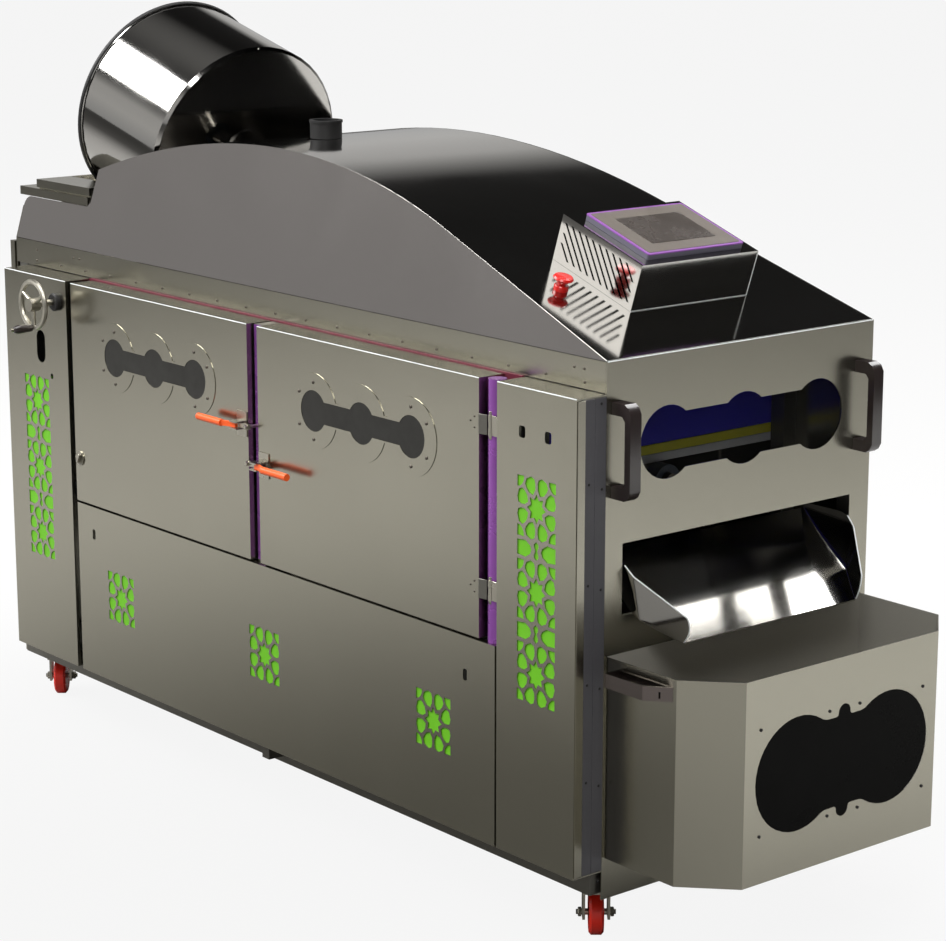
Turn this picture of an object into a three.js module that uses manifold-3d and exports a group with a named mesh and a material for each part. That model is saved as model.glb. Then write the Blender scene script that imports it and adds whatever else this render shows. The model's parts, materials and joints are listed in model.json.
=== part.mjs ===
// Nut roasting machine: a long sheet-steel roaster on casters, in millimetres, +Z up.
// Inside this file X runs forward with 0 at the front panel, Y runs across with 0 on the
// mid-plane and the door side at -Y, and Z is the height above the floor. The last lines
// shift the whole machine so that the middle of its footprint is the origin.
import * as THREE from 'three';
import * as BufferGeometryUtils from 'three/addons/utils/BufferGeometryUtils.js';
import Module from 'manifold-3d';

const wasm = await Module();
wasm.setup();

// Driving dimensions of the body
const BODY_LENGTH = 2330;
const HALF_WIDTH = 388;
const FAR_HALF_WIDTH = 400;
const UNDERSIDE = 125;
const EAVES = 1275;
const SHEET = 2;
const GAP = 0.3;

// The door side stands proud of the body by the depth of the doors
const DOOR_PLANE = -468;
const SIDE_BOTTOM = 188;
const SIDE_TOP = 1208;
const WAIST = 640;
const FRONT_COLUMN = 248;
const FRONT_DOOR = [306.5, 1109.5];
const REAR_DOOR = [1150.5, 1929.5];
const REAR_COLUMN = [1954, 2259];
const DOOR_DEPTH = 70;
const HINGE_POST_S = 277;

// Leaning side cheeks and the arched roof between them
const LEAN = 0.3;
const ROOF_SLOPE = 0.337;
const ROOF_STRAIGHT = 600;
const ROOF_RADIUS = 2200;
const CHEEK_STEP = 2004;
const SHOULDER = 1383;
const ROOF_END = 1690;

// Mixing drum on the rear of the roof
const MIX_TILT = THREE.MathUtils.degToRad(15.5);
const MIX_RADIUS = 280;
const MIX_LENGTH = 361;
const MIX_BASE = [-1815, 1517];

// Roasting drum inside the body
const ROAST_RADIUS = 235;
const ROAST_Z = 930;
const ROAST_ENDS = [300, 1900];

// Console on the front slope of the roof
const CONSOLE_S = [167, 415];
const BEZEL_S = 283;
const CONSOLE_HEIGHT = 107;
const CONSOLE_HALF_WIDTH = 171;
const LOUVRE_PITCH = 22.5;

// Discharge chute and collection bin
const OPENING_HALF_WIDTH = 340;
const OPENING_Z = [735, 891];
const CHUTE_HALF_WIDTH = 336;
const BIN_Z = [219, 658];
const BIN_REACH = 313;
const BIN_CHAMFER_Y = 288;
const BIN_CORNER_NEAR = 212;
const BIN_CORNER_FAR = 230;
const HANDLE_Z = [610, 640];

// Vent pattern: one cell holds an eight-point star ringed by eight petals
const VENT_WIDTH = 126;
const CELL_HEIGHT = 137;
const LINK_HEIGHT = 40.5;
const FRONT_VENT = { s: 122, z: 782 };
const REAR_VENT = { s: 2113, z: 698 };
const LOW_VENTS = [463, 1102, 1731];
const LOW_VENT_Z = 418;

const steel = { color: 0x8f8d80, roughness: 0.28, metalness: 1.0 };
const darkSteel = { color: 0x75716b, roughness: 0.25, metalness: 1.0 };
const mirrorSteel = { color: 0xa8a49c, roughness: 0.08, metalness: 1.0 };
const tubeSteel = { color: 0x6f6b64, roughness: 0.45, metalness: 1.0 };
const blackPlastic = { color: 0x231c1b, roughness: 0.35, metalness: 0.0 };
const greenPaint = { color: 0x6bbb3b, roughness: 0.5, metalness: 0.0 };
const darkGlass = { color: 0x14121a, roughness: 0.05, metalness: 0.0 };
const orangeGrip = { color: 0xf2641e, roughness: 0.45, metalness: 0.0 };
const redPlastic = { color: 0xc81c12, roughness: 0.35, metalness: 0.0 };
const purplePaint = { color: 0x4d2b5a, roughness: 0.4, metalness: 0.2 };
const crimsonSeal = { color: 0x5a1030, roughness: 0.7, metalness: 0.0 };
const motorPaint = { color: 0x3d4348, roughness: 0.5, metalness: 0.3 };
const zincSteel = { color: 0xb9b9b4, roughness: 0.35, metalness: 1.0 };

const machine = new THREE.Group();

function addPart(name, geometry, finish, parent = machine) {
  const mesh = new THREE.Mesh(geometry, new THREE.MeshStandardMaterial(finish));
  mesh.name = name;
  parent.add(mesh);
  return mesh;
}

// Solids and booleans
function solid(geometry) {
  const bare = geometry.clone();
  bare.deleteAttribute('normal');
  bare.deleteAttribute('uv');
  const merged = BufferGeometryUtils.mergeVertices(bare, 1e-4);
  return new wasm.Manifold(new wasm.Mesh({
    numProp: 3,
    vertProperties: new Float32Array(merged.attributes.position.array),
    triVerts: new Uint32Array(merged.index.array),
  }));
}

function surface(manifold) {
  const mesh = manifold.getMesh();
  const geometry = new THREE.BufferGeometry();
  geometry.setAttribute('position', new THREE.BufferAttribute(mesh.vertProperties, 3));
  geometry.setIndex(new THREE.BufferAttribute(mesh.triVerts, 1));
  geometry.computeVertexNormals();
  return geometry;
}

function join(geometries) {
  let result = solid(geometries[0]);
  for (const geometry of geometries.slice(1)) {
    result = result.add(solid(geometry));
  }
  return surface(result);
}

function cut(geometry, tools) {
  let result = solid(geometry);
  for (const tool of tools) {
    result = result.subtract(solid(tool));
  }
  return surface(result);
}

// A block between opposite corners
function block(x0, x1, y0, y1, z0, z1) {
  const geometry = new THREE.BoxGeometry(x1 - x0, y1 - y0, z1 - z0);
  return geometry.translate((x0 + x1) / 2, (y0 + y1) / 2, (z0 + z1) / 2);
}

// Flat sheets: an outline drawn in two axes and given its thickness along the third
function sheetXZ(shape, y0, y1, curveSegments = 12) {
  const settings = { depth: y1 - y0, bevelEnabled: false, curveSegments };
  return new THREE.ExtrudeGeometry(shape, settings).rotateX(Math.PI / 2).translate(0, y1, 0);
}

function sheetYZ(shape, x0, x1, curveSegments = 12) {
  const settings = { depth: x1 - x0, bevelEnabled: false, curveSegments };
  const geometry = new THREE.ExtrudeGeometry(shape, settings);
  return geometry.rotateX(Math.PI / 2).rotateZ(Math.PI / 2).translate(x0, 0, 0);
}

function sheetXY(shape, z0, z1, curveSegments = 12) {
  const settings = { depth: z1 - z0, bevelEnabled: false, curveSegments };
  return new THREE.ExtrudeGeometry(shape, settings).translate(0, 0, z0);
}

function outline(points) {
  return new THREE.Shape(points.map(([u, v]) => new THREE.Vector2(u, v)));
}

function rectangle(u0, u1, v0, v1) {
  return outline([[u0, v0], [u1, v0], [u1, v1], [u0, v1]]);
}

function roundedRectangle(u0, u1, v0, v1, radius) {
  const shape = new THREE.Shape();
  shape.absarc(u1 - radius, v1 - radius, radius, 0, Math.PI / 2, false);
  shape.absarc(u0 + radius, v1 - radius, radius, Math.PI / 2, Math.PI, false);
  shape.absarc(u0 + radius, v0 + radius, radius, Math.PI, 1.5 * Math.PI, false);
  shape.absarc(u1 - radius, v0 + radius, radius, 1.5 * Math.PI, 2 * Math.PI, false);
  shape.closePath();
  return shape;
}

// Round bars along each axis
function rodX(x0, x1, y, z, radius, sides = 24) {
  const geometry = new THREE.CylinderGeometry(radius, radius, x1 - x0, sides);
  return geometry.rotateZ(Math.PI / 2).translate((x0 + x1) / 2, y, z);
}

function rodY(y0, y1, x, z, radius, sides = 24, endRadius = radius) {
  const geometry = new THREE.CylinderGeometry(endRadius, radius, y1 - y0, sides);
  return geometry.translate(x, (y0 + y1) / 2, z);
}

function rodZ(z0, z1, x, y, radius, sides = 24) {
  const geometry = new THREE.CylinderGeometry(radius, radius, z1 - z0, sides);
  return geometry.rotateX(Math.PI / 2).translate(x, y, (z0 + z1) / 2);
}

// Height of the roof at a distance s behind the front panel
function roofHeight(s) {
  const angle = Math.atan(ROOF_SLOPE);
  const straightTop = EAVES + ROOF_SLOPE * ROOF_STRAIGHT;
  if (s <= ROOF_STRAIGHT) return EAVES + ROOF_SLOPE * s;
  const peakS = ROOF_STRAIGHT + ROOF_RADIUS * Math.sin(angle);
  const peakZ = straightTop + ROOF_RADIUS * (1 - Math.cos(angle));
  return peakZ - ROOF_RADIUS + Math.sqrt(ROOF_RADIUS ** 2 - (peakS - s) ** 2);
}

// Distance from the middle plane to the outer face of a leaning cheek at a height
function cheekHalfWidth(z, foot = HALF_WIDTH) {
  return foot - LEAN * (z - EAVES);
}

// Vent pattern
function ventHole(points, centreX, centreZ) {
  const limit = VENT_WIDTH / 2 - 3;
  return outline(points.map(([x, z]) => [
    centreX + THREE.MathUtils.clamp(x, -limit, limit),
    centreZ + z,
  ]));
}

function starPoints(outerRadius, innerRadius, tall) {
  const points = [];
  for (let i = 0; i < 16; i += 1) {
    const radius = i % 2 === 0 ? outerRadius : innerRadius;
    const angle = (i * Math.PI) / 8;
    points.push([radius * Math.cos(angle), tall * radius * Math.sin(angle)]);
  }
  return points;
}

// A petal is a pointed oval that radiates from the star: pairs of radius and half width
const PETAL = [[28, 0], [36, 10.5], [46, 15], [55, 16], [63, 8]];

function petalPoints(angle, tall) {
  const side = PETAL.slice(1).reverse().map(([radius, width]) => [radius, -width]);
  return [...PETAL, ...side].map(([radius, width]) => [
    radius * Math.cos(angle) - width * Math.sin(angle),
    tall * (radius * Math.sin(angle) + width * Math.cos(angle)),
  ]);
}

function starCell(centreX, centreZ) {
  const tall = CELL_HEIGHT / VENT_WIDTH;
  const holes = [ventHole(starPoints(29, 19, tall), centreX, centreZ)];
  for (let i = 0; i < 8; i += 1) {
    const angle = ((2 * i + 1) * Math.PI) / 8;
    holes.push(ventHole(petalPoints(angle, tall), centreX, centreZ));
  }
  const corner = [[60, 40], [60, 64], [39, 64], [40, 54], [44.5, 47], [52, 41]];
  for (const [flipX, flipZ] of [[1, 1], [-1, 1], [-1, -1], [1, -1]]) {
    holes.push(ventHole(corner.map(([x, z]) => [x * flipX, z * flipZ]), centreX, centreZ));
  }
  return holes;
}

// Between two cells sit a waisted slot and a half petal on either side of it
function linkRow(centreX, centreZ) {
  const slot = [[0, 20], [7, 14], [7, 9], [3, 0], [7, -9], [7, -14], [0, -20]];
  const mirrored = slot.slice(1, -1).reverse().map(([x, z]) => [-x, z]);
  const half = [[60, 16], [34, 18], [19, 9], [15, 0], [19, -9], [34, -18], [60, -16]];
  return [
    ventHole([...slot, ...mirrored], centreX, centreZ),
    ventHole(half, centreX, centreZ),
    ventHole(half.map(([x, z]) => [-x, z]), centreX, centreZ),
  ];
}

function ventHoles(s, centreZ, cells) {
  const holes = [];
  const pitch = CELL_HEIGHT + LINK_HEIGHT;
  for (let i = 0; i < cells; i += 1) {
    const z = centreZ + (i - (cells - 1) / 2) * pitch;
    holes.push(...starCell(-s, z));
    if (i < cells - 1) holes.push(...linkRow(-s, z + pitch / 2));
  }
  return holes;
}

// Folded panel on the door side: a face sheet with a return along each edge
function foldedPanel(s0, s1, z0, z1, returns, holes) {
  const inner = DOOR_PLANE + returns;
  const inside = block(-s1 + SHEET, -s0 - SHEET, DOOR_PLANE + SHEET, inner + 5,
    z0 + SHEET, z1 - SHEET);
  const notch = block(-s0 - 5, -s0 + 5, DOOR_PLANE + 10, inner + 7, z0 + 3, z1 - 3);
  return cut(block(-s1, -s0, DOOR_PLANE, inner, z0, z1), [
    inside,
    notch,
    ...holes.map((hole) => sheetXZ(hole, DOOR_PLANE - 3, DOOR_PLANE + 5, 3)),
  ]);
}

function roundedHole(s, z, width, height, radius) {
  return roundedRectangle(-s - width / 2, -s + width / 2, z - height / 2, z + height / 2, radius);
}

function buildSidePanels() {
  const frontHoles = [roundedHole(168, 1115, 20, 25, 6), roundedHole(87, 1115, 20, 25, 6)];
  frontHoles.push(...ventHoles(FRONT_VENT.s, FRONT_VENT.z, 3));
  addPart('front_column', foldedPanel(0, FRONT_COLUMN, SIDE_BOTTOM, SIDE_TOP, 79.6, frontHoles), steel);

  const rearHoles = [
    roundedHole(2085, 1023, 42, 85, 20.9),
    roundedHole(2000, 1150, 17, 17, 8.4),
    roundedHole(2035, 951, 12, 14, 5),
  ];
  rearHoles.push(...ventHoles(REAR_VENT.s, REAR_VENT.z, 3));
  const [rear0, rear1] = REAR_COLUMN;
  addPart('rear_column', foldedPanel(rear0, rear1, SIDE_BOTTOM, SIDE_TOP, 79.6, rearHoles), steel);

  const lowHoles = [roundedHole(353, 551, 14, 26, 5), roundedHole(1853, 565, 14, 26, 5)];
  // Each vent sits a hair higher than the one before, so that no facets line up across the panel
  LOW_VENTS.forEach((s, index) => lowHoles.push(...ventHoles(s, LOW_VENT_Z + 0.37 * index, 1)));
  const low = foldedPanel(FRONT_COLUMN + 6, rear0 - 25, SIDE_BOTTOM, WAIST - 3, 18, lowHoles);
  addPart('lower_panel', low, darkSteel);

  // Flat far side: one plain sheet from the base to the eaves
  const far = sheetXZ(rectangle(-BODY_LENGTH + 2.5, -3.5, UNDERSIDE, EAVES - 0.4),
    FAR_HALF_WIDTH - SHEET, FAR_HALF_WIDTH);
  addPart('side_panel_far', far, steel);
}

// Painted plates that show green through the vents
function buildVentBackings() {
  const y0 = DOOR_PLANE + SHEET + GAP;
  const tall = 3 * CELL_HEIGHT + 2 * LINK_HEIGHT + 12;
  const width = VENT_WIDTH + 16;
  const backing = (s, z, height) => block(
    -s - width / 2, -s + width / 2, y0, y0 + SHEET, z - height / 2, z + height / 2);
  addPart('front_vent_backing', backing(FRONT_VENT.s, FRONT_VENT.z, tall), greenPaint);
  addPart('rear_vent_backing', backing(REAR_VENT.s, REAR_VENT.z, tall), greenPaint);
  const low = block(-LOW_VENTS[2] - width / 2, -LOW_VENTS[0] + width / 2, y0, y0 + SHEET,
    LOW_VENT_Z - CELL_HEIGHT / 2 - 8, LOW_VENT_Z + CELL_HEIGHT / 2 + 8);
  addPart('lower_vent_backing', low, greenPaint);
}

// Welded tube frame: base ladder, posts, rails and the two bars that carry the drum
function buildFrame() {
  const tube = 40;
  const nearIn = -HALF_WIDTH + SHEET;
  const farIn = FAR_HALF_WIDTH - SHEET - GAP;
  const rear = -BODY_LENGTH + 12;
  const front = -12;
  const bars = [
    block(rear, front, -410, -350, 136, 187.6),
    block(rear, front, farIn - 60, farIn, 136, 187.6),
  ];
  for (const s of [79, 1150, 2283]) {
    bars.push(block(-s - 34, -s + 34, -400, farIn - 20, 136, 184));
  }
  for (const s of [34, 242, 1958, 2298]) {
    bars.push(block(-s - 20, -s + 20, nearIn, nearIn + tube, 140, 1209.6));
    bars.push(block(-s - 20, -s + 20, farIn - tube, farIn, 140, 1209.6));
  }
  for (const [y0, y1] of [[nearIn + 1.4, nearIn + 38], [farIn - 38, farIn - 2]]) {
    bars.push(block(rear, front, y0, y1, 1206, 1266));
    bars.push(block(rear, front, y0, y1, 600, 636));
  }
  for (const s of [34, 1130, 1620, 2298]) {
    bars.push(block(-s - 20, -s + 20, nearIn + 10, farIn - 10, 1214, 1254));
  }
  for (const s of [242, 1958]) {
    bars.push(block(-s - 20, -s + 20, nearIn + 10, farIn - 10, ROAST_Z - 84, ROAST_Z - 44));
  }
  // Centre mullion between the two doors, which the toggle clamps press on
  bars.push(block(-1144, -1116, -449.5, -380, 150, 1206));
  bars.push(block(-1144, -1116, nearIn + 1.4, nearIn + 30, 1190, 1240));
  addPart('frame', join(bars), tubeSteel);

  // Front corner post: two narrow faces with a groove between them
  const post = outline([
    [-30, -446], [0, -446], [0, -419], [-6, -419], [-6, -417], [0, -417], [0, -388.4],
    [-30, -388.4],
  ]);
  addPart('front_post', sheetXY(post, 191.4, 1204.6), steel);
}

function buildEavesAndCheeks() {
  const rail = outline([
    [-HALF_WIDTH, 1210], [-HALF_WIDTH + 3, 1210], [-HALF_WIDTH + 3, EAVES - 1],
    [-HALF_WIDTH, EAVES - 1],
  ]);
  addPart('eaves_rail', sheetYZ(rail, -BODY_LENGTH + 2.5, -3.5), steel);

  // The cheek is drawn flat, in the length and the slope height, and then leant inwards
  const slope = Math.atan(LEAN);
  const flat = (s, z) => [-s, (z - EAVES) / Math.cos(slope)];
  const points = [flat(3.5, EAVES - 0.5 + ROOF_SLOPE * 3.5)];
  const steps = 22;
  for (let i = 0; i <= steps; i += 1) {
    const s = ROOF_STRAIGHT + ((CHEEK_STEP - ROOF_STRAIGHT) * i) / steps;
    points.push(flat(s, roofHeight(s)));
  }
  points.push(flat(CHEEK_STEP + 4, SHOULDER + 12), flat(CHEEK_STEP + 16, SHOULDER));
  const rearEnd = BODY_LENGTH - 3;
  const corner = 26;
  for (let i = 0; i <= 4; i += 1) {
    const angle = (i * Math.PI) / 8;
    const s = rearEnd - corner + corner * Math.sin(angle);
    points.push(flat(s, SHOULDER - corner + corner * Math.cos(angle)));
  }
  points.push(flat(rearEnd, EAVES), flat(3.5, EAVES));
  for (const [name, side, foot] of [['cheek_near', -1, HALF_WIDTH],
    ['cheek_far', 1, FAR_HALF_WIDTH]]) {
    const sheet = sheetXZ(outline(points), -SHEET / 2, SHEET / 2);
    sheet.rotateX(side * slope);
    sheet.translate(0, side * (foot - SHEET / 2), EAVES);
    addPart(name, sheet, darkSteel);
  }
}

// Roof sheet bent over the arch, trimmed on both sides by the leaning cheeks
function buildRoof() {
  const stations = [4, ROOF_STRAIGHT];
  const bends = 20;
  for (let i = 1; i <= bends; i += 1) {
    stations.push(ROOF_STRAIGHT + ((ROOF_END - ROOF_STRAIGHT) * i) / bends);
  }
  const positions = [];
  for (const s of stations) {
    const top = roofHeight(s);
    for (const z of [top - SHEET, top]) {
      const inset = SHEET + 0.6;
      positions.push(-s, inset - cheekHalfWidth(z), z);
      positions.push(-s, cheekHalfWidth(z, FAR_HALF_WIDTH) - inset, z);
    }
  }
  const faces = [];
  const quad = (a, b, c, d) => faces.push(a, b, c, a, c, d);
  const last = stations.length - 1;
  for (let i = 0; i < last; i += 1) {
    const a = 4 * i;
    const b = a + 4;
    quad(a + 2, a + 3, b + 3, b + 2);
    quad(a + 1, a, b, b + 1);
    quad(a, a + 2, b + 2, b);
    quad(a + 3, a + 1, b + 1, b + 3);
  }
  quad(0, 1, 3, 2);
  const end = 4 * last;
  quad(end + 1, end, end + 2, end + 3);
  const geometry = new THREE.BufferGeometry();
  geometry.setAttribute('position', new THREE.Float32BufferAttribute(positions, 3));
  geometry.setIndex(faces);
  geometry.computeVertexNormals();
  const vent = rodZ(1550, 1640, -1370, -70, 30, 20);
  addPart('roof_sheet', cut(geometry, [vent]), mirrorSteel);

  // Open steam outlet that stands on the roof near its crown
  const stubZ = roofHeight(1302) + 0.4;
  const ring = new THREE.LatheGeometry([[33, 0], [39, 0], [39, 38], [41, 38], [41, 44], [33, 44],
    [33, 0]].map(([r, z]) => new THREE.Vector2(r, z)), 32);
  ring.rotateX(Math.PI / 2).translate(-1370, -70, stubZ);
  addPart('steam_outlet', ring, darkSteel);
}

// Windows are rows of round lobes joined by a narrower waist
function lobedPrism(place, lobes, radius, waist, inset, depth0, depth1, rodSides = 32) {
  const half = (lobes[lobes.length - 1] - lobes[0]) / 2;
  const middle = (lobes[lobes.length - 1] + lobes[0]) / 2;
  const pieces = lobes.map((u) => {
    const shape = new THREE.Shape();
    shape.absarc(u, 0, radius - inset, 0, 2 * Math.PI, false);
    return place(shape, depth0, depth1, rodSides / 2);
  });
  const band = rectangle(middle - half, middle + half, -waist / 2 + inset, waist / 2 - inset);
  pieces.push(place(band, depth0, depth1));
  return pieces;
}

function buildFrontPanel() {
  const face = rectangle(-HALF_WIDTH, FAR_HALF_WIDTH, UNDERSIDE, EAVES);
  const opening = rectangle(-OPENING_HALF_WIDTH, OPENING_HALF_WIDTH, OPENING_Z[0], OPENING_Z[1]);
  face.holes.push(opening);
  const lobes = [-216, 6, 228];
  const windowZ = 1087;
  const place = (shape, x0, x1, segments) => sheetYZ(shape, x0, x1, segments)
    .translate(0, 0, windowZ);
  const tools = lobedPrism(place, lobes, 78, 119, 0, -10, 10);
  addPart('front_panel', cut(sheetYZ(face, -3, 0), tools), steel);
  const pane = lobedPrism(place, lobes, 78, 119, 0.4, -8, -1.5, 28);
  addPart('front_window', join(pane), darkGlass);

  const rear = outline([
    [-HALF_WIDTH, UNDERSIDE], [FAR_HALF_WIDTH, UNDERSIDE], [FAR_HALF_WIDTH, EAVES],
    [cheekHalfWidth(SHOULDER - 26, FAR_HALF_WIDTH), SHOULDER - 26],
    [-cheekHalfWidth(SHOULDER - 26), SHOULDER - 26], [-HALF_WIDTH, EAVES],
  ]);
  const cover = rectangle(-HALF_WIDTH, FAR_HALF_WIDTH, UNDERSIDE, EAVES - 12);
  addPart('rear_panel', join([
    sheetYZ(rear, -BODY_LENGTH, -BODY_LENGTH + SHEET),
    sheetYZ(rectangle(-HALF_WIDTH + 12, HALF_WIDTH - 12, UNDERSIDE + 12, EAVES - 30),
      -BODY_LENGTH - 12, -BODY_LENGTH + 1),
    sheetYZ(cover, -BODY_LENGTH - 32, -BODY_LENGTH - 11),
  ]), steel);
}

// Bridge handles bolted upright on both sides of the front window
function buildPullHandles() {
  for (const [name, y] of [['pull_handle_near', -359], ['pull_handle_far', 360]]) {
    const z0 = 991;
    const z1 = 1191;
    const outer = outline([
      [0.3, z0], [38, z0], [49, z0 + 7], [56, z0 + 20], [56, z1 - 20], [49, z1 - 7], [38, z1],
      [0.3, z1],
    ]);
    const grip = new THREE.Path();
    grip.setFromPoints([[0.3, z0 + 26], [32, z0 + 26], [40, z0 + 36], [40, z1 - 36], [32, z1 - 26],
      [0.3, z1 - 26]].map(([x, z]) => new THREE.Vector2(x, z)));
    const body = sheetXZ(outer, y - 15, y + 15);
    const tool = sheetXZ(new THREE.Shape(grip.getPoints()), y - 20, y + 20).translate(-1, 0, 0);
    addPart(name, cut(body, [tool]), blackPlastic);
  }
}

function buildDoor(name, s0, s1, windowS) {
  const z0 = WAIST + 3;
  const z1 = SIDE_TOP - 1;
  const windowZ = 1043;
  const lobes = [-177.5, 0, 177.5].map((offset) => offset - windowS);
  const place = (shape, y0, y1, segments) => sheetXZ(shape, y0, y1, segments)
    .translate(0, 0, windowZ);
  const inside = DOOR_PLANE + DOOR_DEPTH;
  const slab = block(-s1, -s0, DOOR_PLANE, inside, z0, z1);
  const hollow = block(-s1 + SHEET, -s0 - SHEET, DOOR_PLANE + SHEET, inside - SHEET,
    z0 + SHEET, z1 - SHEET);
  const cover = lobedPrism(place, lobes, 88, 60, 0, DOOR_PLANE - 1.5, DOOR_PLANE + 1, 40);
  const holes = lobedPrism(place, lobes, 47.5, 51, 0, DOOR_PLANE - 5, inside + 5, 28);
  addPart(name, cut(join([slab, ...cover]), [hollow, ...holes]), steel);
  const pane = lobedPrism(place, lobes, 47.5, 51, 0.4, DOOR_PLANE - 0.4, DOOR_PLANE + 5, 28);
  addPart(`${name}_glass`, join(pane), darkGlass);
}

function buildDoors() {
  buildDoor('door_front', FRONT_DOOR[0], FRONT_DOOR[1], 712);
  buildDoor('door_rear', REAR_DOOR[0], REAR_DOOR[1], 1548);
  addPart('hinge_post', rodZ(WAIST - 2.6, SIDE_TOP - 1, -HINGE_POST_S, -442, 20), purplePaint);
  addPart('door_seal', cut(block(-1951, -252, -397.5, -389.5, WAIST - 1, 1209.6), [
    block(-1112, -310, -400, -380, WAIST + 16, 1196),
    block(-1925, -1152, -400, -380, WAIST + 16, 1196),
    block(-1146, -1114, -400, -380, 100, 1206.4),
  ]), crimsonSeal);
}

// Horizontal toggle clamps that hold each door against the centre mullion.
// The direction is +1 where the grip points to the front and -1 where it points to the rear.
function buildClamp(name, edgeS, z, direction) {
  const at = (offset) => -edgeS + direction * offset;
  const span = (a, b) => [Math.min(at(a), at(b)), Math.max(at(a), at(b))];
  const standing = DOOR_PLANE - GAP;
  const [p0, p1] = span(3, 42);
  const [e0, e1] = span(5, 32);
  addPart(`${name}_base`, join([
    block(p0, p1, standing - 2.5, standing, z - 30, z + 30),
    block(e0, e1, standing - 31, standing - 1, z + 6.5, z + 9.5),
    block(e0, e1, standing - 31, standing - 1, z - 9.5, z - 6.5),
  ]), zincSteel);
  const [a0, a1] = span(-24, 14);
  addPart(`${name}_arm`, join([
    block(a0, a1, -486, -478, z - 6, z + 6),
    rodY(-479, -450, at(-19.5), z, 4, 16),
    rodY(-492.5, -485, at(-19.5), z, 5.5, 6),
  ]), zincSteel);
  const lever = outline([
    [at(17), -493.5], [at(27), -493.5], [at(64), -505.5], [at(64), -497.5], [at(27), -485.5],
    [at(17), -485.5],
  ]);
  const [g0, g1] = span(60, 158);
  addPart(`${name}_lever`, join([
    sheetXY(lever, z - 6, z + 6),
    rodX(g0, g1, -501.5, z, 8.5, 20),
  ]), orangeGrip);
}

// Handwheel on the rear column, with a spinning grip on its rim
function buildHandwheel() {
  const s = 2000;
  const z = 1150;
  const y = DOOR_PLANE - 68;
  const rim = new THREE.TorusGeometry(59, 7, 8, 30).rotateX(Math.PI / 2).translate(-s, y, z);
  const pieces = [rim, rodY(y - 14, y + 14, -s, z, 17), rodY(y, -440, -s, z, 8, 20)];
  for (let i = 0; i < 3; i += 1) {
    const angle = -Math.PI / 2 + (i * 2 * Math.PI) / 3;
    const spoke = new THREE.CylinderGeometry(5.5, 5.5, 50, 12).translate(0, 33, 0);
    spoke.rotateZ(angle - Math.PI / 2).rotateX(Math.PI / 2).translate(-s, y, z);
    pieces.push(spoke);
  }
  pieces.push(rodY(y - 68, y, -s, z - 59, 4.5, 12));
  addPart('handwheel', join(pieces), zincSteel);
  const grip = [[5, 0], [9, 0], [10.5, 20], [11.5, 40], [8, 50], [5, 52], [5, 0]];
  const sleeve = new THREE.LatheGeometry(grip.map(([r, h]) => new THREE.Vector2(r, h)), 20);
  addPart('handwheel_grip', sleeve.rotateX(Math.PI).translate(-s, y - 8, z - 59), blackPlastic);
}

// The console stands square to the front slope of the roof
function buildConsole() {
  const slope = Math.atan(ROOF_SLOPE);
  const console_ = new THREE.Group();
  const middle = (CONSOLE_S[0] + CONSOLE_S[1]) / 2;
  console_.position.set(-middle, 0, EAVES + ROOF_SLOPE * middle);
  console_.rotation.y = slope;
  machine.add(console_);
  const half = (CONSOLE_S[1] - CONSOLE_S[0]) / 2 / Math.cos(slope);
  const wide = CONSOLE_HALF_WIDTH;
  const body = block(-half, half, -wide, wide, GAP, CONSOLE_HEIGHT);
  const louvres = [block(-half + SHEET, half - SHEET, -wide + SHEET, wide - SHEET, -5,
    CONSOLE_HEIGHT - SHEET)];
  // Slanted louvre slots: each runs down to the front, and the end ones stop at the margins
  const [slantX, slantZ] = [78, -80];
  for (let x = -half - 58; x < half - 24; x += LOUVRE_PITCH) {
    const from = Math.max(0, (-half + 11 - x) / slantX);
    const to = Math.min(1, (half - 19 - x) / slantX);
    if (to - from < 0.15) continue;
    const [a, b] = [x + from * slantX, x + to * slantX];
    const [za, zb] = [93 + from * slantZ, 93 + to * slantZ];
    const slot = outline([[a, za], [a + 7.5, za], [b + 7.5, zb], [b, zb]]);
    louvres.push(sheetXZ(slot, -wide - 2, -wide + 5));
    louvres.push(sheetXZ(slot, wide - 5, wide + 2));
  }
  addPart('console_box', cut(body, louvres), mirrorSteel, console_);
  const ahead = (middle - BEZEL_S) / Math.cos(slope);
  const bezel = roundedRectangle(ahead - 104, ahead + 104, -140, 140, 6);
  addPart('touch_panel', sheetXY(bezel, CONSOLE_HEIGHT + GAP, CONSOLE_HEIGHT + 14, 3),
    purplePaint, console_);

  // Emergency stop beside the console, square to the roof as well
  const stop = new THREE.Group();
  stop.position.set(-288, -260, EAVES + ROOF_SLOPE * 288);
  stop.rotation.y = slope;
  machine.add(stop);
  const collar = [[8.6, GAP], [16, GAP], [16, 10], [14, 12.5], [8.6, 12.5], [8.6, GAP]];
  addPart('stop_collar', new THREE.LatheGeometry(collar.map(([r, h]) => new THREE.Vector2(r, h)), 24)
    .rotateX(Math.PI / 2), redPlastic, stop);
  const cap = [[0, 7], [8.2, 7], [8.2, 18], [13, 19], [14, 22], [21, 25], [22.5, 28], [20, 31.5],
    [10, 33.6], [0, 34]];
  addPart('stop_button', new THREE.LatheGeometry(cap.map(([r, h]) => new THREE.Vector2(r, h)), 32)
    .rotateX(Math.PI / 2), redPlastic, stop);
}

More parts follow.
